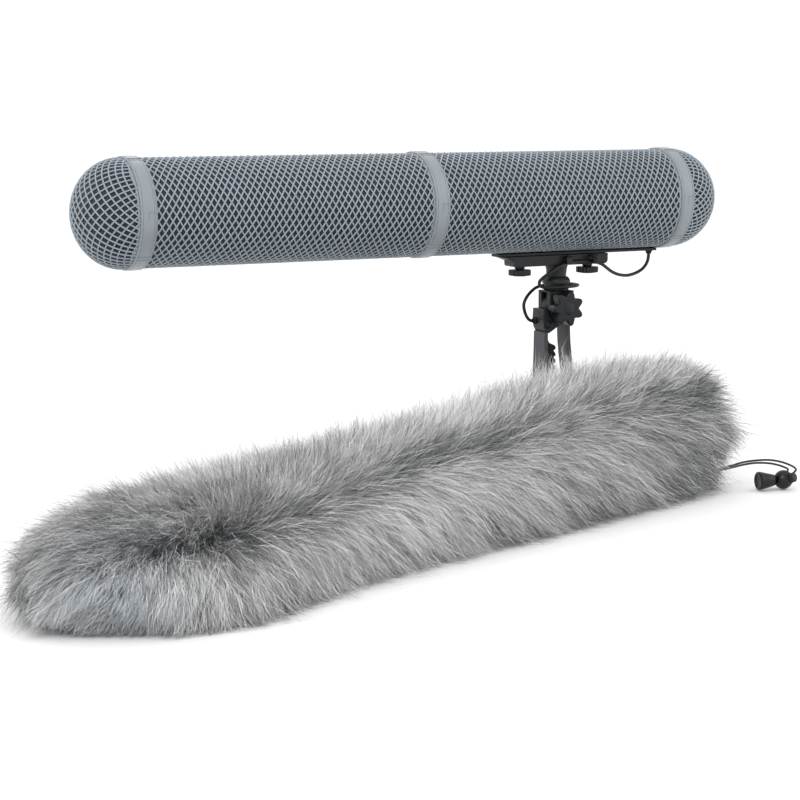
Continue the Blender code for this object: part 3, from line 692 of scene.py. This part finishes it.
class WINDSCREEN_OT_tube_nets(bpy.types.Operator):
    """Winds the two crossing families of strands of each net tube, with its moulded rims and keel strip"""
    bl_idname = "windscreen.tube_nets"
    bl_label = "Tube nets"

    def execute(self, context):
        scene = context.scene
        kit = scene.windscreen_basket
        twist = 2 * PI / (kit.turn / MM)
        for side, (x0, x1) in TUBES.items():
            count = int((x1 - x0) / 4.0)
            lines = []
            for family, radius in ((1, TUBE_R - 0.85), (-1, TUBE_R - 1.4)):
                for strand in range(kit.strands):
                    start = 2 * PI * strand / kit.strands
                    line = []
                    for i in range(count + 1):
                        x = x0 + (x1 - x0) * i / count
                        turn = start + family * twist * x
                        line.append((x, -radius * math.cos(turn), AXIS_Z + radius * math.sin(turn)))
                    lines.append(line)
            mesh = strands_mesh(side + "_net_strands", lines, kit.strand)
            body = "front_tube" if side == "front" else "basket"
            settle(side + "_net_strands", mesh, net_plastic(scene), body, (side + "_tube_net",))
            rims = bmesh.new()
            for edge, way in ((x0, 1), (x1, -1)):
                r = TUBE_R - 0.9
                rim = [(edge, r - 1.2), (edge, r), (edge + way * 1.2, r), (edge + way * 1.6, r - 0.5),
                       (edge + way * 1.6, r - 1.2)]
                join_into(rims, spun(rim, 96))
            if side == "rear":
                half = math.radians(10.5)
                strip = bmesh.new()
                steps = 12
                row = []
                for i in range(steps + 1):
                    turn = -half + 2 * half * i / steps
                    row.append(strip.verts.new((KEEL_START, (TUBE_R - 0.2) * math.sin(turn),
                                                -(TUBE_R - 0.2) * math.cos(turn))))
                for a, b in zip(row, row[1:]):
                    strip.edges.new((a, b))
                grown = bmesh.ops.extrude_edge_only(strip, edges=strip.edges[:])
                moved = [item for item in grown["geom"] if isinstance(item, bmesh.types.BMVert)]
                bmesh.ops.translate(strip, vec=(x1 - KEEL_START, 0, 0), verts=moved)
                bmesh.ops.recalc_face_normals(strip, faces=strip.faces)
                bmesh.ops.solidify(strip, geom=strip.faces[:], thickness=1.4)
                join_into(rims, strip)
            finish_piece(side + "_net_rims", on_axis(rims), net_plastic(scene), body)
        return {"FINISHED"}


def dome_point(side, flat_y, flat_z, offset):
    """Maps a flat net, laid on the dome's tip, to the ellipsoid, keeping distances from the tip."""
    rim, way, depth = DOMES[side]
    reach = math.hypot(flat_y, flat_z)
    heading = math.atan2(flat_z, flat_y)
    total = dome_arc(depth)
    share = min(reach / total, 1.0)
    turn = PI / 2 * (1 - share)
    radius = (TUBE_R - 0.85 + offset) * math.cos(turn)
    x = rim + way * (depth - 0.85 + offset) * math.sin(turn)
    return x, radius * math.cos(heading), AXIS_Z + radius * math.sin(heading)


def dome_arc(depth):
    """Length of the dome's profile from tip to rim."""
    a, b = depth, TUBE_R
    return PI / 4 * (3 * (a + b) - math.sqrt((3 * a + b) * (a + 3 * b)))


class WINDSCREEN_OT_dome_nets(bpy.types.Operator):
    """Drapes a square net over each dome, with the smooth rim that slides into the lock ring"""
    bl_idname = "windscreen.dome_nets"
    bl_label = "Dome nets"

    def execute(self, context):
        scene = context.scene
        pitch = scene.windscreen_basket.dome_pitch / MM
        for side, (rim, way, depth) in DOMES.items():
            total = dome_arc(depth)
            lines = []
            for family, offset in ((1, 0.25), (-1, -0.3)):
                rows = int(total / pitch)
                for k in range(-rows, rows + 1):
                    across = k * pitch
                    half = math.sqrt(max(total ** 2 - across ** 2, 0.0))
                    count = max(int(2 * half / 4.2), 3)
                    line = []
                    for i in range(count + 1):
                        run = -half + 2 * half * i / count
                        flat_y = (run - family * across) / math.sqrt(2)
                        flat_z = (family * run + across) / math.sqrt(2)
                        line.append(dome_point(side, flat_y, flat_z, offset))
                    lines.append(line)
            mesh = strands_mesh(side + "_dome_strands", lines, scene.windscreen_basket.strand)
            settle(side + "_dome_strands", mesh, net_plastic(scene), side + "_dome",
                   (side + "_dome_net",))
            r = TUBE_R - 0.9
            band = [(rim, r - 1.2), (rim, r), (rim + way * 1.4, r - 0.1), (rim + way * 1.8, r - 0.5),
                    (rim + way * 1.8, r - 1.2)]
            finish_piece(side + "_dome_rim", on_axis(spun(band, 96)), net_plastic(scene), side + "_dome")
        return {"FINISHED"}


class WINDSCREEN_OT_linings(bpy.types.Operator):
    """Stretches the gauze lining behind the nets of both tubes and both domes"""
    bl_idname = "windscreen.linings"
    bl_label = "Gauze linings"

    def execute(self, context):
        mat = woven_gauze(context.scene)
        r = TUBE_R - 2.3
        for side, (x0, x1) in TUBES.items():
            body = "front_tube" if side == "front" else "basket"
            shape = spun([(x0, r), (x1, r), (x1, r - 0.7), (x0, r - 0.7)], 112)
            finish_piece(side + "_tube_gauze", on_axis(shape), mat, body, nodes=(side + "_tube_lining",))
        for side, (rim, way, depth) in DOMES.items():
            skins = []
            for inset in (2.3, 3.0):
                angles = [PI / 2 * i / 16 for i in range(17)]
                skins.append([(rim + way * (depth - inset) * math.sin(t), (TUBE_R - inset) * math.cos(t))
                              for t in angles[:-1]] + [(rim + way * (depth - inset), 0.0)])
            shape = spun(skins[0] + skins[1][::-1], 96)
            finish_piece(side + "_dome_gauze", on_axis(shape), mat, side + "_dome", smooth=60,
                         nodes=(side + "_dome_lining",))
        return {"FINISHED"}


class WINDSCREEN_OT_suspension(bpy.types.Operator):
    """Finishes the keel plate, the bar inside the basket and its two microphone cradles"""
    bl_idname = "windscreen.suspension"
    bl_label = "Keel and suspension"

    def execute(self, context):
        scene = context.scene
        refined("keel_plate", black_nylon(scene), "basket", bevel=0.3)
        refined("suspension_bar", black_nylon(scene), "basket", bevel=0.8)
        for side in ("front", "rear"):
            refined(side + "_cradle", soft_rubber(scene), "basket", bevel=0.6)
            refined(side + "_mic_clip", black_nylon(scene), "basket", bevel=0.4)
        return {"FINISHED"}


# ---------------------------------------------------------------- clamp, swivel and grip

def fluted_head(low, high, radius, flutes, depth, bevel):
    """Upright hand screw's head: a ring of rounded flutes, drawn about Z."""
    bm = bmesh.new()
    circle = bmesh.ops.create_circle(bm, cap_ends=True, segments=flutes * 6, radius=1.0)
    for vert in circle["verts"]:
        turn = math.atan2(vert.co.y, vert.co.x)
        reach = radius - depth * (0.5 - 0.5 * math.cos(flutes * turn)) ** 1.5
        vert.co = (reach * math.cos(turn), reach * math.sin(turn), low)
    face = bm.faces[:]
    grown = bmesh.ops.extrude_face_region(bm, geom=face)
    moved = [item for item in grown["geom"] if isinstance(item, bmesh.types.BMVert)]
    bmesh.ops.translate(bm, vec=(0, 0, high - low), verts=moved)
    bmesh.ops.recalc_face_normals(bm, faces=bm.faces)
    rim = [e for e in bm.edges if abs(e.verts[0].co.z - e.verts[1].co.z) < 1e-6]
    bmesh.ops.bevel(bm, geom=rim, offset=bevel, segments=3, profile=0.5, affect="EDGES", material=-1)
    return bm


class WINDSCREEN_OT_clamp(bpy.types.Operator):
    """Makes the clamp block, its thumb screws, the ribbed cable post and the hook"""
    bl_idname = "windscreen.clamp"
    bl_label = "Clamp"

    def execute(self, context):
        scene = context.scene
        nylon = black_nylon(scene)
        refined("clamp_block", nylon, "head", bevel=0.7)
        refined("cable_hook", nylon, "head", bevel=0.4)
        refined("post_bracket", nylon, "head", bevel=0.3)
        top = 214.7
        for name, x in (("front_thumbscrew", -45.0), ("rear_thumbscrew", 35.5)):
            shape = fluted_head(top - 8.6, top - 2.8, 11.5, 18, 0.9, 0.7)
            neck = [(0, 0), (0, 5.2), (-1.0, 5.2), (-2.4, 4.6), (-3.2, 4.6), (-3.2, 0)]
            join_into(shape, place_along(spun(neck, 40), UP, (0, 0, top)))
            dish = [(-8.5, 0), (-8.5, 7.2), (-9.0, 7.6), (-9.3, 6.8), (-9.0, 5.0), (-9.0, 0)]
            join_into(shape, place_along(spun(dish, 48), UP, (0, 0, top)))
            bmesh.ops.translate(shape, vec=(x, -2.5, 0), verts=shape.verts)
            finish_piece(name + "_head", shape, knob_nylon(scene), name, nodes=(name,))
        ribs = [(216.0, 0), (216.0, 3.2)]
        for i in range(4):
            z = 217.2 + i * 2.1
            ribs += [(z, 3.3), (z + 0.25, 3.95), (z + 0.7, 4.05), (z + 1.15, 3.95), (z + 1.45, 3.3)]
        ribs += [(225.0, 3.3), (225.0, 0)]
        turned_piece("ribbed_cable_post", ribs, 40, UP, (35.5, -18.2, 0), nylon, "head", "cable_post")
        return {"FINISHED"}


class WINDSCREEN_OT_swivel(bpy.types.Operator):
    """Makes the stem, the grooved collar, the forked head, the yoke and the tilt knob on its bolt"""
    bl_idname = "windscreen.swivel"
    bl_label = "Swivel and knob"

    def execute(self, context):
        scene = context.scene
        nylon = black_nylon(scene)
        stem = [(203.5, 0), (203.5, 10.0), (210.7, 10.6), (213.2, 11.2), (214.7, 11.6), (214.7, 0)]
        turned_piece("swivel_stem", stem, 80, UP, (0, 0, 0), nylon, "head", "stem")
        collar = [(203.2, 0), (203.2, 10.8), (202.9, 11.4), (202.0, 12.6), (200.2, 13.8), (199.5, 14.2),
                  (198.0, 14.3), (196.6, 14.2), (196.0, 13.9), (195.6, 12.6), (191.6, 12.6), (191.3, 12.7),
                  (190.0, 12.7), (189.3, 12.3), (189.3, 0)]
        turned_piece("grooved_collar", collar, 96, UP, (0, 0, 0), nylon, "head", "swivel_collar")
        refined("swivel_head", nylon, "head", bevel=0.5)
        refined("yoke_tongue", nylon, "grip", bevel=0.3)
        refined("yoke_block", nylon, "grip", bevel=0.9)
        refined("star_knob", knob_nylon(scene), "star_knob", bevel=0.8, angle=40.0)
        cap = [(-25.4, 0), (-26.0, 0.4), (-26.0, 5.6), (-25.6, 6.2), (-25.0, 6.4), (-25.0, 0)]
        turned_piece("star_knob_cap", cap, 48, BACK, (0, 0, PIVOT_Z), nylon, "star_knob")
        bolt = [(-18.0, 0), (-18.0, 2.9), (12.0, 2.9), (12.0, 5.9), (12.4, 6.2), (14.6, 6.1), (15.3, 5.5),
                (15.5, 4.8), (15.5, 3.0), (14.3, 2.7), (14.3, 0)]
        turned_piece("pivot_bolt_turned", bolt, 48, BACK, (0, 0, PIVOT_Z), plated_steel(), "grip",
                     "pivot_bolt")
        refined("knob_washer", plated_steel(), "grip", bevel=0.15)
        rivet = [(-12.9, 0), (-12.9, 1.6), (-12.6, 2.8), (-12.1, 3.6), (-11.3, 3.8), (-11.3, 0)]
        turned_piece("yoke_rivet", rivet, 40, BACK, (-15.0, 0, 155.0), blackened_steel(), "grip",
                     "yoke_screw")
        return {"FINISHED"}


class WINDSCREEN_OT_grip(bpy.types.Operator):
    """Finishes the grip's two straps, the serrated finger rest and the threaded foot"""
    bl_idname = "windscreen.grip"
    bl_label = "Grip"

    def execute(self, context):
        scene = context.scene
        straps = strap_nylon(scene)
        refined("grip_front_strap", straps, "grip", bevel=0.9, tuck=1.6)
        refined("grip_rear_strap", straps, "grip", bevel=0.9, tuck=1.6)
        refined("grip_base", straps, "grip", bevel=0.8)
        refined("finger_rest", soft_rubber(scene), "grip", bevel=0.5)
        refined("threaded_insert", plated_steel(), "grip", bevel=0.2)
        return {"FINISHED"}


# ---------------------------------------------------------------- fur cover

def cover_points(along, turn, inset=0.0):
    """Points in millimetres on the fabric tube, for arrays of shares of its length and angles in radians."""
    clear = np.clip(along, 0.0, 1.0)
    slump = np.exp(-((clear - 0.12) / 0.11) ** 2)
    width = 59.0 - 4.0 * clear + 13.0 * slump
    height = 70.0 + 14.0 * clear + 24.0 * np.maximum(0.0, (clear - 0.55) / 0.45) ** 1.2
    nose = np.minimum(clear / NOSE_SHARE, 1.0)
    swell = np.sqrt(np.maximum(1.0 - (1.0 - nose) ** 2, 0.0))
    width, height = width * (0.22 + 0.78 * swell), height * (0.40 + 0.60 * swell)
    side = (width - inset) * np.cos(turn) - 8.0 * slump
    lift = (height / 2 - inset) * np.sign(np.sin(turn)) * np.abs(np.sin(turn)) ** 0.86
    run = COVER_LENGTH * along
    x = COVER_START[0] + math.cos(COVER_YAW) * run - math.sin(COVER_YAW) * side
    y = COVER_START[1] + math.sin(COVER_YAW) * run + math.cos(COVER_YAW) * side
    return np.stack([x, y, height / 2 + lift], -1)


def cover_frames(along, turn):
    """Outward normals, and the directions ahead and round the tube, at the same places."""
    here = cover_points(along, turn)
    ahead = cover_points(along + 0.003, turn) - cover_points(np.maximum(along - 0.003, 0.0), turn)
    round_way = cover_points(along, turn + 0.02) - cover_points(along, turn - 0.02)
    normal = np.cross(round_way, ahead)
    middle = cover_points(along, turn, inset=200.0)
    normal *= np.sign(np.sum(normal * (here - middle), -1, keepdims=True))
    return here, unit(normal), unit(ahead), unit(round_way)


def unit(vectors):
    return vectors / np.maximum(np.linalg.norm(vectors, axis=-1, keepdims=True), 1e-9)


class WINDSCREEN_OT_cover(bpy.types.Operator):
    """Sews the cover's knitted backing and the gathered hem round its mouth"""
    bl_idname = "windscreen.cover"
    bl_label = "Cover backing and hem"

    def execute(self, context):
        scene = context.scene
        bm = bmesh.new()
        shares = ([0.0, 0.004, 0.012, 0.025, 0.045, 0.07, 0.095, NOSE_SHARE]
                  + [NOSE_SHARE + (1 - NOSE_SHARE) * i / 30 for i in range(1, 31)])
        segments = 72
        loops = []
        for share in shares:
            ring = bmesh.ops.create_circle(bm, cap_ends=share == 0.0, segments=segments, radius=1.0)["verts"]
            turns = np.array([math.atan2(v.co.y, v.co.x) for v in ring])
            for vert, place in zip(ring, cover_points(np.full(len(ring), share), turns, inset=0.6)):
                vert.co = place
            loops.append(list({e for v in ring for e in v.link_edges if e.other_vert(v) in ring}))
        for a, b in zip(loops, loops[1:]):
            bmesh.ops.bridge_loops(bm, edges=a + b)
        bmesh.ops.recalc_face_normals(bm, faces=bm.faces)
        backing = finish_piece("cover_knit_backing", bm, knitted_backing(scene), "cover", smooth=80,
                               nodes=("cover_nose", "cover_upper_panel", "cover_under_panel"))
        wall = backing.modifiers.new("cloth thickness", "SOLIDIFY")
        wall.thickness = 0.0022
        wall.offset = -1.0

        lines = []
        turns = np.linspace(0, 2 * PI, 240, endpoint=False)
        ripple = 0.9 * np.sin(turns * 22) + 0.5 * np.sin(turns * 37 + 1.0)
        line = cover_points(np.full(240, 1.0) + (5.0 + ripple) / COVER_LENGTH, turns, inset=3.2)
        line += 0.5 * ripple[:, None] * cover_frames(np.full(240, 1.0), turns)[1]
        line[:, 2] = np.maximum(line[:, 2], 3.4)
        lines.append(line.tolist())
        mesh = strands_mesh("gathered_hem", lines, 0.0062, resolution=3, cyclic=True)
        settle("gathered_hem", mesh, knitted_backing(scene), "cover", ("cover_hem",))
        return {"FINISHED"}


def lean_field(along, turn):
    """How the pile lies at each place: a parting near the crest, strands falling down the near side and
    combed towards the mouth, and laid back over the closed end."""
    here, normal, ahead, round_way = cover_frames(along, turn)
    past = turn - parting_angle(along)
    near = 1 / (1 + np.exp(-past / 0.12))
    parted = np.clip((along - 0.10) / 0.12, 0, 1)
    at_parting = np.exp(-(past / 0.16) ** 2) * parted
    near_comb = np.interp(along, [0.0, 0.06, 0.12, 0.22, 0.38, 0.6, 0.85, 1.0],
                          [-0.60, -0.30, 0.0, 0.10, 0.40, 0.62, 0.80, 1.30])
    far_comb = np.interp(along, [0.0, 0.10, 0.16, 0.24, 0.38, 0.6, 0.85, 1.0],
                         [-0.90, -0.80, -0.45, 0.10, 0.40, 0.62, 0.80, 1.30])
    combed = near * near_comb + (1 - near) * far_comb
    skirt = np.clip((turn - math.radians(182)) / 0.4, 0, 1)
    fall = (near * (0.80 - 0.45 * skirt) * np.interp(along, [0.0, 0.05, 0.11], [0.5, 0.7, 1.0])
            - (1 - near) * 0.30 * parted)
    outward = near * (0.42 + 0.40 * skirt) + (1 - near) * (0.55 + 0.30 * parted)
    lean = (normal * (outward * (1 - 0.45 * at_parting))[:, None]
            + round_way * (fall * (1 - 0.7 * at_parting))[:, None]
            + ahead * (combed + 0.35 * at_parting)[:, None])
    swirl = cover_points(np.array([0.03]), np.array([math.radians(178.0)]))[0]
    return here, normal, unit(lean), np.linalg.norm(here - swirl, axis=-1)


def parting_angle(along):
    return np.radians(np.interp(along, [0.0, 0.12, 0.22, 0.33, 0.42, 0.60, 0.75, 1.0],
                                [120.0, 150.0, 150.0, 138.0, 126.0, 120.0, 124.0, 132.0]))


def soft_noise(chance, places, size, count=24):
    """Smooth random field over points, built from a few waves of about the given size in millimetres."""
    total = np.zeros(len(places))
    for _ in range(count):
        wave = chance.normal(0, 1, 3)
        wave *= 2 * PI / (size * np.linalg.norm(wave)) * chance.uniform(0.6, 1.6)
        total += np.sin(places @ wave + chance.uniform(0, 2 * PI))
    return total / math.sqrt(count / 2)


class WINDSCREEN_OT_pile(bpy.types.Operator):
    """Grows the long pile: tapering strands gathered into locks, each strand in its own run of tones"""
    bl_idname = "windscreen.pile"
    bl_label = "Fur pile"

    def execute(self, context):
        fur = context.scene.windscreen_fur
        chance = np.random.default_rng(7)
        cells_u, cells_t = 420, 180
        grid_u, grid_t = np.meshgrid((np.arange(cells_u) + 0.5) / cells_u,
                                     (np.arange(cells_t) + 0.5) / cells_t * 2 * PI, indexing="ij")
        u, t = grid_u.ravel(), grid_t.ravel()
        du = cover_points(u + 0.0012, t) - cover_points(np.maximum(u - 0.0012, 0), t)
        dt = cover_points(u, t + 0.0175) - cover_points(u, t - 0.0175)
        area = np.linalg.norm(np.cross(du, dt), axis=-1)
        under = (t > math.radians(222)) & (t < math.radians(318))
        weight = area * np.where(under, 0.16, 1.0)
        cells = chance.choice(len(u), size=fur.locks, p=weight / weight.sum())
        lock_u = np.clip(u[cells] + chance.uniform(-0.5, 0.5, fur.locks) / cells_u, 0.0, 1.0)
        lock_t = t[cells] + chance.uniform(-0.5, 0.5, fur.locks) * 2 * PI / cells_t
        order = np.argsort(lock_u)
        lock_u, lock_t = lock_u[order], lock_t[order]
        _, _, lock_lean, _ = lean_field(lock_u, lock_t)
        lock_lean = unit(lock_lean + chance.normal(0, 0.21, lock_lean.shape))
        lock_length = chance.normal(1.0, 0.14, fur.locks)
        lock_tone = chance.normal(0, 0.55, fur.locks)
        spread = 4.2             # how far a strand's root lies from the middle of its lock
        share = fur.strands // PILE_PIECES
        for number in range(PILE_PIECES):
            low, high = fur.locks * number // PILE_PIECES, fur.locks * (number + 1) // PILE_PIECES
            owner = chance.integers(low, high, share)
            su = np.clip(lock_u[owner] + chance.normal(0, spread, share) / COVER_LENGTH, 0.0, 1.0)
            st = lock_t[owner] + chance.normal(0, spread, share) / 58.0
            root, normal, lean, from_swirl = lean_field(su, st)
            lock_root = cover_points(lock_u[owner], lock_t[owner])
            guard = chance.random(share) < 0.20
            swing = unit(lean + chance.normal(0, 0.17, lean.shape)
                         + normal * np.where(guard, 0.35, 0.0)[:, None])
            length = fur.pile / MM * lock_length[owner] * chance.uniform(0.62, 1.10, share)
            length *= np.where(guard, chance.uniform(1.05, 1.45, share), 1.0) * pile_length(su, st)
            own_tip = root + swing * length[:, None]
            lock_tip = lock_root + lock_lean[owner] * length[:, None]
            gather = np.where(guard, 0.2, chance.uniform(0.35, 0.85, share))[:, None]
            tip = own_tip * (1 - gather) + lock_tip * gather + chance.normal(0, 0.8, root.shape)
            tip[:, 2] -= 0.07 * length
            bend = (root + normal * (0.36 * length)[:, None] + (tip - root) * 0.16
                    + chance.normal(0, 0.09, root.shape) * length[:, None])
            tone = self.tones(chance, su, st, root, from_swirl, lock_tone[owner], guard)
            self.plant(number + 1, root, bend, tip, normal, tone, fur.strand / MM, chance, st)
        return {"FINISHED"}

    def tones(self, chance, along, turn, root, from_swirl, lock_tone, guard):
        """Tone numbers of a strand's root, middle and tip: 0 the darkest, 7 the lightest, 8 and 9 bluish."""
        past = turn - parting_angle(along)
        wander = soft_noise(chance, root, 90.0)
        # Darker band along the parting: partly the dark roots of the pile that show there, partly painted shade in
        # the crease between the two sides.
        parting_dark_roots_and_shade = np.exp(-((past - 0.05 * wander) / 0.20) ** 2) * np.clip(0.8 + 0.35 * wander, 0.2, 1.2)
        second = (np.exp(-((past + 0.62 - 0.06 * wander) / 0.17) ** 2)
                  * np.interp(along, [0.0, 0.05, 0.30, 0.48], [0.3, 0.9, 0.8, 0.0]))
        swirl = np.exp(-(from_swirl / 16.0) ** 2)
        # Painted light and shade by side of the parting: the near side is lightened towards the closed end and
        # darkened towards the mouth, and the far side is lightened, for how the light falls on the cover.
        near_side_painted_light = np.interp(along, [0.0, 0.15, 0.45, 0.68, 0.85, 1.0], [1.3, 1.3, 1.1, 0.0, -0.8, -0.9])
        far_side_painted_light = np.interp(along, [0.0, 0.2, 0.5, 0.7, 1.0], [0.3, 0.5, 0.5, 1.0, 0.6])
        mid = (5.0 + 1.0 * lock_tone + 0.35 * wander - 3.3 * parting_dark_roots_and_shade - 1.9 * second - 1.2 * swirl
               + np.where(past > 0.15, near_side_painted_light, far_side_painted_light) + chance.normal(0, 1.6, len(along)))
        mid += np.where(guard, chance.choice([-2.6, 0.9], len(along)), 0.0)
        skirt = np.clip((turn - math.radians(160)) / 0.45, 0, 1)
        tip = mid + 0.7 - 3.4 * (chance.random(len(along)) < 0.22 + 0.58 * skirt)
        # Each strand's root is two tones darker than its middle: partly the darker roots of the pile, partly
        # painted shade down among the strands.
        runs = np.clip(np.round(np.stack([mid - 2.2, mid, tip], -1)), 0, 7).astype(np.int32)
        cast = (chance.random(len(along)) < 0.5 * np.exp(-(from_swirl / 44.0) ** 2))[:, None]
        return np.where(cast & (runs > 4), 9, np.where(cast & (runs > 1), 8, runs)).astype(np.int32)

    def plant(self, number, root, bend, tip, normal, tone, width, chance, turn):
        """Makes one piece of the pile from tapering three-part ribbons, above the floor and in its room."""
        count = len(root)
        steps = (0.0, 0.36, 0.70, 1.0)
        line = [root * (1 - s) ** 2 + bend * (2 * s * (1 - s)) + tip * s * s for s in steps]
        crimp = chance.normal(0, 0.055, root.shape) * np.linalg.norm(tip - root, axis=-1)[:, None]
        line[1] = line[1] + crimp
        line[2] = line[2] - crimp
        low = np.array(CAD_LOW) / MM - 0.03 * np.array(CAD_HIGH - CAD_LOW) / MM - 9.0
        high = np.array(CAD_HIGH) / MM + 9.0
        low[2] = 0.0
        for i, spots in enumerate(line):
            np.clip(spots, low, high, out=spots)
            floor = 0.5 + chance.uniform(0, 2.6, count)
            spots[:, 2] = np.where(spots[:, 2] < floor, floor, spots[:, 2])
            by_grip = (np.abs(spots[:, 0]) < 46) & (spots[:, 1] > -19)
            spots[:, 1] = np.where(by_grip, -19 - chance.uniform(0, 2, count), spots[:, 1])
        run = unit(line[3] - line[0])
        flat = unit(np.cross(run, normal + chance.normal(0, 0.55, normal.shape)))
        verts = np.empty((count, 7, 3))
        for i, taper in enumerate((0.5, 0.42, 0.26)):
            verts[:, 2 * i] = line[i] - flat * (width * taper)
            verts[:, 2 * i + 1] = line[i] + flat * (width * taper)
        verts[:, 6] = line[3]
        corners = np.array([0, 1, 3, 2, 2, 3, 5, 4, 4, 5, 6])
        loops = (np.arange(count)[:, None] * 7 + corners).ravel()
        starts = (np.arange(count)[:, None] * 11 + np.array([0, 4, 8])).ravel()
        mesh = bpy.data.meshes.new("fur_pile_%d" % number)
        mesh.vertices.add(count * 7)
        mesh.vertices.foreach_set("co", (verts * MM).astype(np.float32).ravel())
        mesh.loops.add(len(loops))
        mesh.loops.foreach_set("vertex_index", loops.astype(np.int32))
        mesh.polygons.add(count * 3)
        mesh.polygons.foreach_set("loop_start", starts.astype(np.int32))
        for mat in fur_tones():
            mesh.materials.append(mat)
        mesh.polygons.foreach_set("material_index", tone.ravel())
        mesh.update(calc_edges=True)
        mesh.validate()
        settle(mesh.name, mesh, None, "cover")


def pile_length(along, turn):
    """Share of the pile's length at each place: longest over the crest and around the mouth, short under
    the closed end."""
    crest = np.exp(-((turn - math.radians(80)) / 0.85) ** 2)
    low_edge = np.radians(np.interp(along, [0.05, 0.09, 0.88, 0.94], [140, 165, 165, 157]))
    low = np.clip((turn - low_edge) / 0.5, 0, 1)
    body = np.interp(along, [0.0, 0.06, 0.15, 0.5, 0.75, 0.9, 1.0], [0.86, 0.95, 1.0, 0.98, 1.02, 1.06, 1.32])
    over = crest * np.interp(along, [0.0, 0.05, 0.22, 0.34, 0.5, 0.7, 0.82, 0.93, 1.0],
                             [-0.2, -0.34, -0.38, -0.22, 0.0, 0.18, 0.15, -0.28, -0.72])
    beneath = low * np.interp(along, [0.0, 0.03, 0.06, 0.10, 0.14, 0.22, 0.34, 0.88, 0.95, 1.0],
                              [-0.5, -0.45, -0.35, 0.25, 0.45, 0.25, 0.0, 0.0, -0.3, -0.7])
    return np.maximum(body + over + beneath, 0.2)


# ---------------------------------------------------------------- panel and start

OPERATORS = (WINDSCREEN_OT_stage, WINDSCREEN_OT_tail_cable, WINDSCREEN_OT_drawcord, WINDSCREEN_OT_lock_rings,
             WINDSCREEN_OT_tube_nets, WINDSCREEN_OT_dome_nets, WINDSCREEN_OT_linings, WINDSCREEN_OT_suspension,
             WINDSCREEN_OT_clamp, WINDSCREEN_OT_swivel, WINDSCREEN_OT_grip, WINDSCREEN_OT_cover,
             WINDSCREEN_OT_pile)
SETTINGS = (("windscreen_basket", WINDSCREEN_PG_basket), ("windscreen_grip", WINDSCREEN_PG_grip),
            ("windscreen_fur", WINDSCREEN_PG_fur))


class WINDSCREEN_PT_kit(bpy.types.Panel):
    """Sizes, colours and the step that builds each piece"""
    bl_idname = "WINDSCREEN_PT_kit"
    bl_label = "Windscreen"
    bl_space_type = "VIEW_3D"
    bl_region_type = "UI"
    bl_category = "Windscreen"

    def draw(self, context):
        for name, group in SETTINGS:
            box = self.layout.box()
            for key in group.__annotations__:
                box.prop(getattr(context.scene, name), key)
        for operator in OPERATORS:
            self.layout.operator(operator.bl_idname)


CLASSES = (WINDSCREEN_PG_basket, WINDSCREEN_PG_grip, WINDSCREEN_PG_fur, *OPERATORS, WINDSCREEN_PT_kit)


def register():
    for item in CLASSES:
        bpy.utils.register_class(item)
    for name, group in SETTINGS:
        setattr(bpy.types.Scene, name, bpy.props.PointerProperty(type=group))


def unregister():
    for name, _ in SETTINGS:
        delattr(bpy.types.Scene, name)
    for item in reversed(CLASSES):
        bpy.utils.unregister_class(item)


def main():
    register()
    for operator in OPERATORS:
        group, name = operator.bl_idname.split(".")
        getattr(getattr(bpy.ops, group), name)()


if __name__ == "__main__":
    main()
